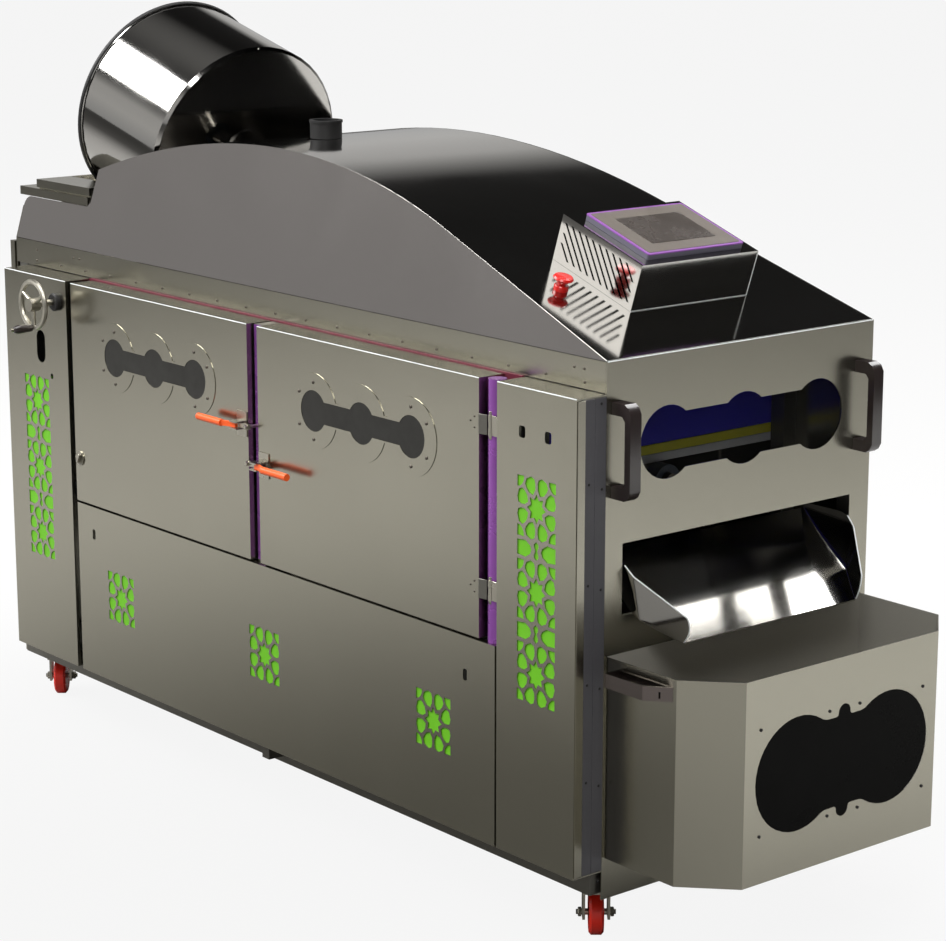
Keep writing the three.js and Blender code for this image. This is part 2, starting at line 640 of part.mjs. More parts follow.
// Mixing drum: an open-mouthed pan that turns on a tilted shaft, its mouth to the rear
function buildMixingDrum() {
  const tilted = new THREE.Group();
  tilted.position.set(MIX_BASE[0], 0, MIX_BASE[1]);
  tilted.rotation.y = MIX_TILT;
  machine.add(tilted);
  const profile = [
    [0, -159.5], [22, -159.5], [22, -6], [60, -6], [60, 0], [MIX_RADIUS - 8, 0], [MIX_RADIUS, 8],
    [MIX_RADIUS, MIX_LENGTH - 12], [MIX_RADIUS + 4, MIX_LENGTH - 8], [MIX_RADIUS + 4, MIX_LENGTH],
    [MIX_RADIUS - 5, MIX_LENGTH], [MIX_RADIUS - 5, MIX_LENGTH - 8], [MIX_RADIUS - 3, MIX_LENGTH - 14],
    [MIX_RADIUS - 3, 10], [MIX_RADIUS - 10, 3], [0, 3],
  ];
  const pan = new THREE.LatheGeometry(profile.map(([r, h]) => new THREE.Vector2(r, h)), 48);
  pan.rotateZ(Math.PI / 2);
  const pieces = [pan];
  for (let i = 0; i < 3; i += 1) {
    const blade = block(-MIX_LENGTH + 40, -2.5, -3, 3, MIX_RADIUS - 50, MIX_RADIUS - 2);
    pieces.push(blade.rotateX((i * 2 * Math.PI) / 3));
  }
  addPart('mixing_drum', join(pieces), mirrorSteel, tilted);

  // Gear motor under the roof, on the drum's own axis and on a stand from the frame
  const onAxis = (geometry) => geometry.rotateY(MIX_TILT).translate(MIX_BASE[0], 0, MIX_BASE[1]);
  addPart('mixing_gearmotor', join([
    onAxis(block(160, 290, -75, 75, -75, 75)),
    onAxis(rodY(70, 250, 225, 0, 58, 28)),
    block(-1652, -1592, -60, 60, 1254.4, 1400),
  ]), motorPaint);
}

// Well between the cheeks under the drum: front wall, floor tray, and the slide to the drum below
function buildFeedWell() {
  const floorZ = 1238;
  const flangeZ = 1266.4;
  const wallTop = roofHeight(ROOF_END) - SHEET - 4;
  const halfTop = cheekHalfWidth(wallTop) - 6;
  const wall = outline([
    [-371, flangeZ + 1], [-331, flangeZ + 1], [-331, 1251], [331, 1251], [331, flangeZ + 1],
    [371, flangeZ + 1],
    [halfTop, wallTop], [-halfTop, wallTop],
  ]);
  wall.holes.push(roundedRectangle(-34, 34, 1482 - 34, 1482 + 34, 30));
  const front = -ROOF_END + 4;
  const trayEnd = -2240;
  const throat = [-2174, -1962];
  const slideEnd = [-1872, 1036];
  const slideSide = outline([
    [-1873, 1035], [-1873, 1106], [-1908, 1138], [throat[1] + 3, floorZ - 1],
    [throat[0] + 1, floorZ - 1], [throat[0] + 1, 1195],
  ]);
  const tray = outline([
    [front, flangeZ], [front, 1250], [-1800, floorZ - SHEET], [trayEnd, floorZ - SHEET],
    [trayEnd, floorZ], [-1800, floorZ], [front - SHEET, 1252], [front - SHEET, flangeZ],
  ]);
  const opening = block(throat[0] + SHEET, throat[1], -79, 79, floorZ - 8, floorZ + 8);
  const floor = cut(sheetXZ(tray, -331.5, 331.5), [opening]);
  const pieces = [
    sheetYZ(wall, front - SHEET, front, 8),
    floor,
    block(throat[0], throat[0] + SHEET, -81, 81, 1194.5, floorZ - 1),
    sheetXZ(outline([[throat[0], 1196], slideEnd, [-1872, 1033], [throat[0], 1193]]), -81, 81),
  ];
  for (const side of [-1, 1]) {
    const y = (near, far) => [Math.min(side * near, side * far), Math.max(side * near, side * far)];
    pieces.push(block(trayEnd + 1, front - 0.5, ...y(330.5, 332.5), floorZ - 1, flangeZ + 1));
    pieces.push(block(trayEnd + 2, front - 1, ...y(331, 372), flangeZ, flangeZ + SHEET));
    pieces.push(sheetXZ(slideSide, ...y(80, 82)));
  }
  addPart('feed_well', join(pieces), steel);

  const collarZ = SHOULDER + 0.4;
  const widen = FAR_HALF_WIDTH - HALF_WIDTH;
  const ring = (reach, half, z0, z1) => {
    const shape = rectangle(-reach, -CHEEK_STEP - 20, -half, half + widen);
    return sheetXY(shape, z0, z1);
  };
  const through = block(-2276, -1900, -245, 245, 1300, 1500);
  addPart('feed_collar', cut(join([
    ring(2362, 352, collarZ, collarZ + 22),
    ring(2282, 340, collarZ + 21, collarZ + 26),
    ring(2286, 346, collarZ + 25, collarZ + 46),
  ]), [through]), steel);
}

// Roasting drum with its shaft, spiders and lifting flights
function buildRoastingDrum() {
  const [s0, s1] = ROAST_ENDS;
  const shell = new THREE.LatheGeometry([
    [ROAST_RADIUS - 3, s0], [ROAST_RADIUS + 5, s0], [ROAST_RADIUS + 5, s0 + 20],
    [ROAST_RADIUS, s0 + 20], [ROAST_RADIUS, s1 - 20], [ROAST_RADIUS + 5, s1 - 20],
    [ROAST_RADIUS + 5, s1], [ROAST_RADIUS - 3, s1], [ROAST_RADIUS - 3, s0],
  ].map(([r, h]) => new THREE.Vector2(r, h)), 40).rotateZ(Math.PI / 2);
  const pieces = [shell, rodX(-1984, -210, 0, 0, 20, 24)];
  for (const s of [s0 + 12, (s0 + s1) / 2, s1 - 60]) {
    for (let i = 0; i < 3; i += 1) {
      const arm = block(-s - 5, -s + 5, -12, 12, 10, ROAST_RADIUS - 1);
      pieces.push(arm.rotateX((i * 2 * Math.PI) / 3));
    }
  }
  for (let i = 0; i < 3; i += 1) {
    const flight = block(-s1 + 50, -s0 - 20, -2, 2, ROAST_RADIUS - 38, ROAST_RADIUS - 1);
    pieces.push(flight.rotateX(Math.PI / 3 + (i * 2 * Math.PI) / 3));
  }
  const drum = addPart('roasting_drum', join(pieces), steel);
  drum.position.set(0, 0, ROAST_Z);

  for (const [name, s] of [['drum_bearing_front', 242], ['drum_bearing_rear', 1958]]) {
    const housing = new THREE.Shape();
    housing.moveTo(-60, -44 + GAP);
    housing.lineTo(60, -44 + GAP);
    housing.lineTo(60, -28);
    housing.lineTo(34, -22);
    housing.absarc(0, 0, 38, -0.5, Math.PI + 0.5, false);
    housing.lineTo(-60, -28);
    housing.closePath();
    const bore = new THREE.Path();
    bore.absarc(0, 0, 20.6, 0, 2 * Math.PI, false);
    housing.holes.push(bore);
    addPart(name, sheetYZ(housing, -s - 18, -s + 18, 14).translate(0, 0, ROAST_Z), motorPaint);
  }

  // Gear motor on the rear end of the shaft, held to the bearing bar by a bracket
  addPart('drum_gearmotor', join([
    block(-2110, -1986, -72, 72, ROAST_Z - 80, ROAST_Z + 80),
    rodZ(ROAST_Z - 330, ROAST_Z - 70, -2048, 0, 66, 28),
    block(-1995, -1978.4, -60, 60, ROAST_Z - 82, ROAST_Z - 46),
  ]), motorPaint);
}

function buildChamber() {
  addPart('chamber_floor', sheetXY(rectangle(-1936, -264, -376, 378), 636.4, 639), darkSteel);
  const pieces = [];
  for (const y of [-120, 120]) {
    pieces.push(rodX(-1840, -360, y, 658, 16, 12));
  }
  for (const s of [380, 1100, 1820]) {
    pieces.push(rodY(-125, 125, -s, 658, 12, 10));
    pieces.push(block(-s - 20, -s + 20, -20, 20, 639.4, 660));
  }
  addPart('burner', join(pieces), tubeSteel);
}

// Chute: a curved trough between two cheeks that pours out of the front opening
function buildChute() {
  const lip = [180, 712];
  const start = [-130, 838];
  const steps = 10;
  const arc = [];
  for (let i = 0; i <= steps; i += 1) {
    const t = i / steps;
    const sag = -34 * Math.sin(Math.PI * t);
    arc.push([start[0] + (lip[0] - start[0]) * t - 6 * Math.sin(Math.PI * t),
      start[1] + (lip[1] - start[1]) * t + sag]);
  }
  const under = arc.map(([x, z]) => [x - 1.2, z - 2.8]).reverse();
  const trough = sheetXZ(outline([...under, ...arc]), -CHUTE_HALF_WIDTH + 1, CHUTE_HALF_WIDTH - 1);
  const cheek = outline([
    [-130, 832], [-4, 737.5], [26, 737.5], [178, 706], [184, 716], [195, 748], [196, 760],
    [190, 770], [176, 780], [0, 848], [-20, 872], [-130, 884],
  ]);
  addPart('chute', join([
    trough,
    sheetXZ(cheek, -CHUTE_HALF_WIDTH, -CHUTE_HALF_WIDTH + 3),
    sheetXZ(cheek, CHUTE_HALF_WIDTH - 3, CHUTE_HALF_WIDTH),
  ]), mirrorSteel);
}

function binPlan(inset) {
  const side = HALF_WIDTH - 4 - inset;
  const front = BIN_REACH - inset;
  const near = BIN_CORNER_NEAR - inset * 0.45;
  const far = BIN_CORNER_FAR - inset * 0.45;
  const chamferY = BIN_CHAMFER_Y - inset * 0.35;
  const back = 0.4 + inset;
  return outline([
    [back, -side], [near, -side], [front, -chamferY], [front, chamferY], [far, side],
    [back, side],
  ]);
}

// Points along an arc, from one angle to another in degrees
function arcPoints(u, v, radius, from, to, steps) {
  const points = [];
  for (let i = 0; i <= steps; i += 1) {
    const angle = THREE.MathUtils.degToRad(from + (to - from) * i / steps);
    points.push([u + radius * Math.cos(angle), v + radius * Math.sin(angle)]);
  }
  return points;
}

// The bin window: two lobes, a filleted neck between them and a round knob above and below it
function binWindowOutline(inset) {
  const lobe = 135;
  const radius = 124 - inset;
  const neck = 98 - inset;
  const fillet = 40 + inset;
  const knob = 18 - inset;
  const corner = 6 + inset;
  const filletU = lobe - Math.sqrt((radius + fillet) ** 2 - (neck + fillet) ** 2);
  const slope = THREE.MathUtils.radToDeg(Math.atan2(neck + fillet, lobe - filletU));
  const quarter = [
    ...arcPoints(0, 105, knob, 90, 0, 5),
    ...arcPoints(knob + corner, neck + corner, corner, 180, 270, 3),
    ...arcPoints(filletU, neck + fillet, fillet, 270, 360 - slope, 5),
    ...arcPoints(lobe, 0, radius, 180 - slope, 0, 14).slice(1),
  ];
  const below = quarter.slice(0, -1).reverse().map(([u, v]) => [u, -v]);
  const right = [...quarter, ...below];
  const left = right.slice(1, -1).reverse().map(([u, v]) => [-u, v]);
  return outline([...right, ...left].reverse().map(([u, v]) => [u + 2, v]));
}

// Collection bin: an open box with cut corners and a window in its front
function buildBin() {
  const windowSheet = (inset, x0, x1) => sheetYZ(binWindowOutline(inset), x0, x1)
    .translate(0, 0, 433);
  const walls = cut(sheetXY(binPlan(0), BIN_Z[0], BIN_Z[1]), [
    sheetXY(binPlan(SHEET), BIN_Z[0] + SHEET, BIN_Z[1] + 10),
    windowSheet(0, BIN_REACH - 20, BIN_REACH + 10),
  ]);
  addPart('bin', walls, steel);
  addPart('bin_window', windowSheet(0.4, BIN_REACH - 3, BIN_REACH - 1), darkGlass);
  // Each handle is a folded loop of sheet, its front end cut at 45 degrees, with a slot there
  for (const [name, side] of [['bin_handle_near', -1], ['bin_handle_far', 1]]) {
    const root = HALF_WIDTH - 4 + GAP;
    const out = root + 39.7;
    const plan = (points) => outline(points.map(([x, y]) => [x, side * y]));
    const loop = cut(sheetXY(plan([[40, root], [202, root], [155, out], [40, out]]), ...HANDLE_Z), [
      sheetXY(plan([[46, root + 3], [190, root + 3], [150, out - 5], [46, out - 5]]),
        HANDLE_Z[0] - 10, HANDLE_Z[1] + 10),
      sheetXY(plan([[140, out - 8], [160, out - 8], [184, root + 16], [164, root + 16]]),
        HANDLE_Z[0] + 6, HANDLE_Z[1] - 10),
    ]);
    addPart(name, loop, steel);
  }
}

// Swivel casters: a fork on a stem under each corner, and its wheel
function buildCasters() {
  const yaw = THREE.MathUtils.degToRad(-39.5);
  const places = { front_near: [-79, -329], front_far: [-79, 329],
    rear_near: [-2283, -329], rear_far: [-2283, 329] };
  for (const [corner, [x, y]] of Object.entries(places)) {
    const caster = new THREE.Group();
    caster.position.set(x, y, 0);
    caster.rotation.z = yaw;
    machine.add(caster);
    const offset = -22;
    addPart(`caster_fork_${corner}`, join([
      rodZ(117, 135.7, 0, 0, 30, 20),
      block(-40, 30, -30, 30, 109, 118),
      block(offset - 20, offset + 22, -30, -24, 40, 112),
      block(offset - 20, offset + 22, 24, 30, 40, 112),
      rodY(-32, 32, offset, 50, 7, 12),
    ]), zincSteel, caster);
    const tread = [[8, -17], [34, -14], [44, -16], [50, -11], [50, 11], [44, 16], [34, 14], [8, 17],
      [8, -17]];
    const wheel = new THREE.LatheGeometry(tread.map(([r, h]) => new THREE.Vector2(r, h)), 24);
    addPart(`caster_wheel_${corner}`, wheel.translate(offset, 0, 50), redPlastic, caster);
  }
}

buildFrame();
buildSidePanels();
buildVentBackings();
buildEavesAndCheeks();
buildRoof();
buildFrontPanel();
buildPullHandles();
buildDoors();
buildClamp('clamp_upper', REAR_DOOR[0], 968, -1);
buildClamp('clamp_lower', FRONT_DOOR[1], 882, 1);
buildHandwheel();
buildConsole();
buildMixingDrum();
buildFeedWell();
buildRoastingDrum();
buildChamber();
buildChute();
buildBin();
buildCasters();

// The footprint runs from the feed collar to the bin and from the grip to the bin handle
const FOOTPRINT_X = [-2362, BIN_REACH];
const FOOTPRINT_Y = [-604, 424];
machine.position.set(
  -(FOOTPRINT_X[0] + FOOTPRINT_X[1]) / 2, -(FOOTPRINT_Y[0] + FOOTPRINT_Y[1]) / 2, 0);

export default machine;
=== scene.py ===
"""Looks of the nut roasting machine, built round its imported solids."""

import json
import math

import bmesh
import bpy
import numpy as np
from mathutils import Matrix, Vector

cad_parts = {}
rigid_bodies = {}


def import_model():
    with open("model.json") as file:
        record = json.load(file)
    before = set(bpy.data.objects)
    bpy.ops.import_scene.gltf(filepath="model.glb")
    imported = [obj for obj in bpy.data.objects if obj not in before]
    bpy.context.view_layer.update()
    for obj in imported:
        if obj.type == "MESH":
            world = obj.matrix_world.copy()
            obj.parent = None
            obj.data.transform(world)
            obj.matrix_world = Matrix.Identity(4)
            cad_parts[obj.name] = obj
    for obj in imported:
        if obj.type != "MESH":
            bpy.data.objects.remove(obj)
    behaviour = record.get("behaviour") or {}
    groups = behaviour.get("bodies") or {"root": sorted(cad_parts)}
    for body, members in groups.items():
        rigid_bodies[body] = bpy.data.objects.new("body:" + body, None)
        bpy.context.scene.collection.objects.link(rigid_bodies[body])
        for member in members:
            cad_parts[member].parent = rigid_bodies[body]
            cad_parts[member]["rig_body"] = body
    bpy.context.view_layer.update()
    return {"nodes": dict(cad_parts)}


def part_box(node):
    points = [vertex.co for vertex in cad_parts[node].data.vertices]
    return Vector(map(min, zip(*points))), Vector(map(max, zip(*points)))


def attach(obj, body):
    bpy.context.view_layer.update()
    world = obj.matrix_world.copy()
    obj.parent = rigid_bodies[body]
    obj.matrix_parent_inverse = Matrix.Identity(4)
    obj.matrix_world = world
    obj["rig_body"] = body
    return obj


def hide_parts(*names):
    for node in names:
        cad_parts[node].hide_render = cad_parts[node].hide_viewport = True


bl_info = {
    "name": "Nut roasting machine",
    "version": (1, 0, 0),
    "blender": (4, 5, 0),
    "location": "View3D > Sidebar > Roaster",
    "description": "Hardware, finishes and studio of a nut roasting machine",
    "category": "Add Mesh",
}

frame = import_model()
NODES = frame["nodes"]

# Measuring frame: s runs rearwards from the front panel, y across, z up, all in millimetres
FRONT_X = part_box("front_panel")[1].x
MIDDLE_Y = (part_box("roasting_drum")[0].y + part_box("roasting_drum")[1].y) / 2
DOOR_PLANE = -468.0

# Directions of the frame: forward is the discharge end, and near is the door side
FORWARD = (1, 0, 0)
FAR = (0, 1, 0)
NEAR = (0, -1, 0)
UP = (0, 0, 1)

# The front slope of the roof rises from its foot over the front panel
ROOF_FOOT = 1275
ROOF_RISE = 0.337
ROOF_SLOPE = math.atan(ROOF_RISE)


def linear(red, green, blue):
    """Screen colour values from 0 to 255 as linear light."""
    values = np.array([red, green, blue], float) / 255
    bent = np.where(values <= 0.04045, values / 12.92, ((values + 0.055) / 1.055) ** 2.4)
    return tuple(float(v) for v in bent)


def placed(points):
    """Points (s, y, z) in millimetres, moved to the frame's metres: x is minus s from the front panel."""
    points = np.asarray(points, float)
    x = FRONT_X - points[..., 0] / 1000
    y = MIDDLE_Y + points[..., 1] / 1000
    return np.stack([x, y, points[..., 2] / 1000], -1)


def measured(name):
    """Lowest and highest (s, y, z) of a solid, in millimetres of the measuring frame."""
    low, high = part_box(name)
    return np.array([[FRONT_X - high.x, low.y - MIDDLE_Y, low.z],
                     [FRONT_X - low.x, high.y - MIDDLE_Y, high.z]]) * 1000


class RoasterSizes(bpy.types.PropertyGroup):
    screw_radius: bpy.props.FloatProperty(
        name="Screw radius", description="Head radius of the door cover screws",
        default=0.0038, unit="LENGTH")
    rivet_radius: bpy.props.FloatProperty(
        name="Rivet radius", description="Head radius of the rivets along the eaves and the post",
        default=0.003, unit="LENGTH")
    hinge_height: bpy.props.FloatProperty(
        name="Hinge height", description="Height of one door hinge",
        default=0.043, unit="LENGTH")
    rim_radius: bpy.props.FloatProperty(
        name="Rim radius", description="Radius of the rolled rim on the mixing drum",
        default=0.006, unit="LENGTH")


class RoasterFinishes(bpy.types.PropertyGroup):
    steel: bpy.props.FloatVectorProperty(
        name="Panel steel", description="Colour of the satin steel panels",
        subtype="COLOR", size=3, default=linear(163, 160, 147))
    mirror: bpy.props.FloatVectorProperty(
        name="Polished steel", description="Colour of the polished steel of roof, console, drum and chute",
        subtype="COLOR", size=3, default=linear(188, 186, 182))
    # Darker than the panel steel: painted shade for the leaning cheeks, which mirror the dark ceiling
    arch: bpy.props.FloatVectorProperty(
        name="Arch steel", description="Colour of the leaning arched cheeks",
        subtype="COLOR", size=3, default=linear(146, 142, 140))
    lattice: bpy.props.FloatVectorProperty(
        name="Vent paint", description="Colour of the plates behind the vents",
        subtype="COLOR", size=3, default=linear(100, 181, 14))
    post: bpy.props.FloatVectorProperty(
        name="Post paint", description="Colour of the hinge post and the strip on the mullion",
        subtype="COLOR", size=3, default=linear(140, 70, 164))
    grip: bpy.props.FloatVectorProperty(
        name="Clamp grips", description="Colour of the clamp grips",
        subtype="COLOR", size=3, default=linear(238, 92, 30))
    stop: bpy.props.FloatVectorProperty(
        name="Stop red", description="Colour of the stop button and its collar",
        subtype="COLOR", size=3, default=linear(205, 22, 16))


# Mesh making: distances in metres, and folds sharper than these degrees stay sharp
MERGE_NEW = 1e-6
MERGE_SOLID = 2e-5
FOLD_NEW = 35
FOLD_SOLID = 32
FOLD_BIN = 20
HEAD_SINK = 0.0006
PLATE_SINK = 0.0003
TUBE_SIDES = 8


def ring_faces(rows, columns):
    """Quads between neighbours of a grid whose columns close to a ring, as rows of four indices."""
    a, b = np.meshgrid(np.arange(rows - 1), np.arange(columns), indexing="ij")
    here = a * columns
    ahead = here + columns
    b1 = (b + 1) % columns
    return np.stack([here + b, ahead + b, ahead + b1, here + b1], -1).reshape(-1, 4)


def piece(name, parts, body, material):
    """One object from several surfaces: each part is (points in metres, quads), its poles are merged."""
    points = np.concatenate([np.asarray(p).reshape(-1, 3) for p, _ in parts])
    starts = np.cumsum([0] + [np.asarray(p).reshape(-1, 3).shape[0] for p, _ in parts[:-1]])
    faces = np.concatenate([np.asarray(f) + start for (_, f), start in zip(parts, starts)])
    mesh = bpy.data.meshes.new(name)
    mesh.from_pydata(points.tolist(), [], faces.tolist())
    shape = bmesh.new()
    shape.from_mesh(mesh)
    bmesh.ops.remove_doubles(shape, verts=shape.verts, dist=MERGE_NEW)
    bmesh.ops.dissolve_degenerate(shape, edges=shape.edges, dist=MERGE_NEW / 10)
    bmesh.ops.recalc_face_normals(shape, faces=shape.faces)
    shape.to_mesh(mesh)
    shape.free()
    mesh.shade_smooth()
    mesh.set_sharp_from_angle(angle=math.radians(FOLD_NEW))
    made = bpy.data.objects.new(name, mesh)
    bpy.context.scene.collection.objects.link(made)
    mesh.materials.append(material)
    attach(made, body)
    return made


def axes_towards(direction):
    """Two unit vectors square to a direction, and the direction itself, as rows."""
    n = np.asarray(direction, float)
    n = n / np.linalg.norm(n)
    helper = np.array([0.0, 0.0, 1.0]) if abs(n[2]) < 0.9 else np.array([1.0, 0.0, 0.0])
    u = np.cross(helper, n)
    u /= np.linalg.norm(u)
    return np.stack([u, np.cross(n, u), n])


def turned(profile, centres, direction, sides):
    """Turned shapes: radius and height along a profile, swept round an axis at each centre.

    A point is centre + radius * (cos a * u + sin a * v) + height * n, in metres.
    """
    profile = np.asarray(profile, float)
    u, v, n = axes_towards(direction)
    a = np.linspace(0, 2 * math.pi, sides, endpoint=False)
    ring = np.cos(a)[:, None] * u + np.sin(a)[:, None] * v
    shape = profile[:, 0, None, None] * ring[None] + profile[:, 1, None, None] * n
    centres = np.atleast_2d(centres)
    points = centres[:, None, None, :] + shape[None]
    quads = ring_faces(len(profile), sides)
    count = len(profile) * sides
    faces = quads[None] + (np.arange(len(centres)) * count)[:, None, None]
    return points.reshape(-1, 3), faces.reshape(-1, 4)


def smoothed(node_name, material, fold=FOLD_SOLID):
    """A welded copy of a solid with soft shading: near points merge, and sharp folds stay sharp."""
    source = NODES[node_name]
    mesh = source.data.copy()
    mesh.materials.clear()
    mesh.materials.append(material)
    shape = bmesh.new()
    shape.from_mesh(mesh)
    bmesh.ops.remove_doubles(shape, verts=shape.verts, dist=MERGE_SOLID)
    bmesh.ops.dissolve_degenerate(shape, edges=shape.edges, dist=MERGE_SOLID / 20)
    shape.to_mesh(mesh)
    shape.free()
    if "custom_normal" in mesh.attributes:
        mesh.attributes.remove(mesh.attributes["custom_normal"])
    mesh.shade_smooth()
    mesh.set_sharp_from_angle(angle=math.radians(fold))
    made = bpy.data.objects.new(f"{node_name}_skin", mesh)
    bpy.context.scene.collection.objects.link(made)
    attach(made, source["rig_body"])
    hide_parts(node_name)
    return made


def button(radius, height):
    """Profile of a domed screw or rivet head, closed at both poles.

    The dome is radius * cos a wide and height * (0.35 + 0.65 * sin a) high, over a straight side.
    """
    a = np.linspace(0, math.pi / 2, 5)
    dome = np.stack([radius * np.cos(a), height * (0.35 + 0.65 * np.sin(a))], -1)
    return np.concatenate([[[0, -HEAD_SINK], [radius, -HEAD_SINK]], dome])


def plate(centre, u_dir, v_dir, half_u, half_v, corner, heights, steps):
    """Rounded plates: the outline's inset and height follow a profile from edge to middle.

    The outline is four quarter circles of the corner's radius round the corner points. A point is
    centre + pu * u + pv * v + height * n, in metres.
    """
    u = np.asarray(u_dir, float)
    v = np.asarray(v_dir, float)
    n = np.cross(u, v)
    a = np.linspace(0, math.pi / 2, steps)
    turn = (np.arange(4) * math.pi / 2)[:, None] + a[None]
    base_u = np.repeat([1, -1, -1, 1], steps) * (half_u - corner)
    base_v = np.repeat([1, 1, -1, -1], steps) * (half_v - corner)
    cos, sin = np.cos(turn).ravel(), np.sin(turn).ravel()
    heights = np.asarray(heights, float)
    reach = np.maximum(corner - heights[:, 0], 0)[:, None]
    pull = np.maximum(heights[:, 0] - corner, 0)[:, None]
    pu = base_u - np.sign(base_u) * np.minimum(pull, np.abs(base_u)) + reach * cos
    pv = base_v - np.sign(base_v) * np.minimum(pull, np.abs(base_v)) + reach * sin
    points = (np.asarray(centre, float) + pu[..., None] * u + pv[..., None] * v
              + heights[:, 1][:, None, None] * n)
    first = np.broadcast_to(points[0].mean(0), points[0].shape)[None]
    last = np.broadcast_to(points[-1].mean(0), points[-1].shape)[None]
    points = np.concatenate([first, points, last])
    return points.reshape(-1, 3), ring_faces(len(points), points.shape[1])


def slab_profile(thickness, edge):
    """Inset and height of a flat plate with softened edges."""
    return [[edge, -PLATE_SINK], [0, 0.0], [0, thickness - edge], [edge, thickness]]


def tube(path, radius):
    """A round bar along a path: rings of a constant radius, each square to the path's direction."""
    path = np.asarray(path, float)
    tangents = np.gradient(path, axis=0)
    tangents /= np.linalg.norm(tangents, axis=1)[:, None]
    helper = np.array([0.31, 0.95, 0.07])
    u = np.cross(tangents, helper)
    u /= np.linalg.norm(u, axis=1)[:, None]
    v = np.cross(tangents, u)
    a = np.linspace(0, 2 * math.pi, TUBE_SIDES, endpoint=False)
    ring = (np.cos(a)[None, :, None] * u[:, None] + np.sin(a)[None, :, None] * v[:, None])
    points = path[:, None] + radius * ring
    points = np.concatenate([np.repeat(path[:1, None], TUBE_SIDES, 1), points,
                             np.repeat(path[-1:, None], TUBE_SIDES, 1)])
    return points.reshape(-1, 3), ring_faces(len(points), TUBE_SIDES)


# Shared shader groups

def node(tree, kind, place, values=(), **settings):
    """A new node at its place in the tree, with its own settings and the values of its inputs."""
    made = tree.nodes.new(kind)
    made.location = place
    for key, value in settings.items():
        setattr(made, key, value)
    for key, value in dict(values).items():
        made.inputs[key].default_value = value
    return made


def new_group(name, inputs, outputs):
    """A shader group: inputs are rows of name, type and default, and outputs are names of floats.

    It returns the tree, the sockets that bring the inputs, the Object coordinate and the results.
    """
    tree = bpy.data.node_groups.new(name, "ShaderNodeTree")
    for label, kind, default in inputs:
        socket = tree.interface.new_socket(label, in_out="INPUT", socket_type=kind)
        socket.default_value = default
    for label in outputs:
        tree.interface.new_socket(label, in_out="OUTPUT", socket_type="NodeSocketFloat")
    entry = node(tree, "NodeGroupInput", (-700, 0))
    place = node(tree, "ShaderNodeTexCoord", (-700, 200))
    leave = node(tree, "NodeGroupOutput", (200, 0))
    return tree, entry.outputs, place.outputs["Object"], leave.inputs


def group_grain():
    """Fine rolled-steel grain: noise stretched along the panel, as height and as a mask."""
    tree, given, place, results = new_group(
        "SheetGrain", [("Scale", "NodeSocketFloat", 900), ("Stretch", "NodeSocketVector", (1, 1, 1))],
        ["Height", "Mask"])
    times = node(tree, "ShaderNodeVectorMath", (-500, 100), operation="MULTIPLY")
    noise = node(tree, "ShaderNodeTexNoise", (-300, 100), {"Detail": 3})
    sharpen = node(tree, "ShaderNodeMapRange", (-100, -50), {"From Min": 0.3, "From Max": 0.7})
    link = tree.links.new
    link(place, times.inputs[0])
    link(given["Stretch"], times.inputs[1])
    link(times.outputs[0], noise.inputs["Vector"])
    link(given["Scale"], noise.inputs["Scale"])
    link(noise.outputs["Fac"], results["Height"])
    link(noise.outputs["Fac"], sharpen.inputs["Value"])
    link(sharpen.outputs["Result"], results["Mask"])
    return tree


def group_handling():
    """Soft smears from hands and cloths: two sizes of noise, mixed to one mask from 0 to 1."""
    tree, given, place, results = new_group(
        "HandlingMarks", [("Size", "NodeSocketFloat", 4)], ["Mask"])
    broad = node(tree, "ShaderNodeTexNoise", (-450, 150), {"Detail": 5, "Distortion": 0.6})
    fine = node(tree, "ShaderNodeTexNoise", (-450, -150), {"Scale": 60, "Detail": 4})
    blend = node(tree, "ShaderNodeMath", (-200, 50), {1: 0.35}, operation="MULTIPLY_ADD")
    spread = node(tree, "ShaderNodeMapRange", (0, 50), {"From Min": 0.45, "From Max": 0.95})
    link = tree.links.new
    link(place, broad.inputs["Vector"])
    link(place, fine.inputs["Vector"])
    link(given["Size"], broad.inputs["Scale"])
    link(fine.outputs["Fac"], blend.inputs[0])
    link(broad.outputs["Fac"], blend.inputs[2])
    link(blend.outputs[0], spread.inputs["Value"])
    link(spread.outputs["Result"], results["Mask"])
    return tree


def group_speckle():
    """Moulded or sprayed surface: fine pits as height, with a faint tone variation."""
    tree, given, place, results = new_group(
        "SprayedSkin", [("Scale", "NodeSocketFloat", 1200)], ["Height", "Tone"])
    pits = node(tree, "ShaderNodeTexVoronoi", (-350, 150))
    cloud = node(tree, "ShaderNodeTexNoise", (-350, -150), {"Scale": 18})
    link = tree.links.new
    link(place, pits.inputs["Vector"])
    link(place, cloud.inputs["Vector"])
    link(given["Scale"], pits.inputs["Scale"])
    link(pits.outputs["Distance"], results["Height"])
    link(cloud.outputs["Fac"], results["Tone"])
    return tree


GROUP_MAKERS = {"grain": group_grain, "handling": group_handling, "skin": group_speckle}
GROUPS = {}


def shader_group(name):
    """Each shared group is made once."""
    if name not in GROUPS:
        GROUPS[name] = GROUP_MAKERS[name]()
    return GROUPS[name]


# Materials

def new_material(name, values):
    """A material with these values on its shader, returned with its tree and the shader."""
    made = bpy.data.materials.new(name)
    made.use_nodes = True
    tree = made.node_tree
    shader = tree.nodes["Principled BSDF"]
    for key, value in values.items():
        shader.inputs[key].default_value = value
    return made, tree, shader


def shade(colour, factor):
    """A colour made lighter or darker by a factor, with full alpha."""
    return (*[min(c * factor, 1) for c in colour], 1)


def tone_by(tree, shader, pattern, low, high):
    """The base colour runs between two tones by a pattern."""
    tone = node(tree, "ShaderNodeMix", (-400, 200), {"A": low, "B": high}, data_type="RGBA")
    tree.links.new(pattern, tone.inputs["Factor"])
    tree.links.new(tone.outputs["Result"], shader.inputs["Base Color"])


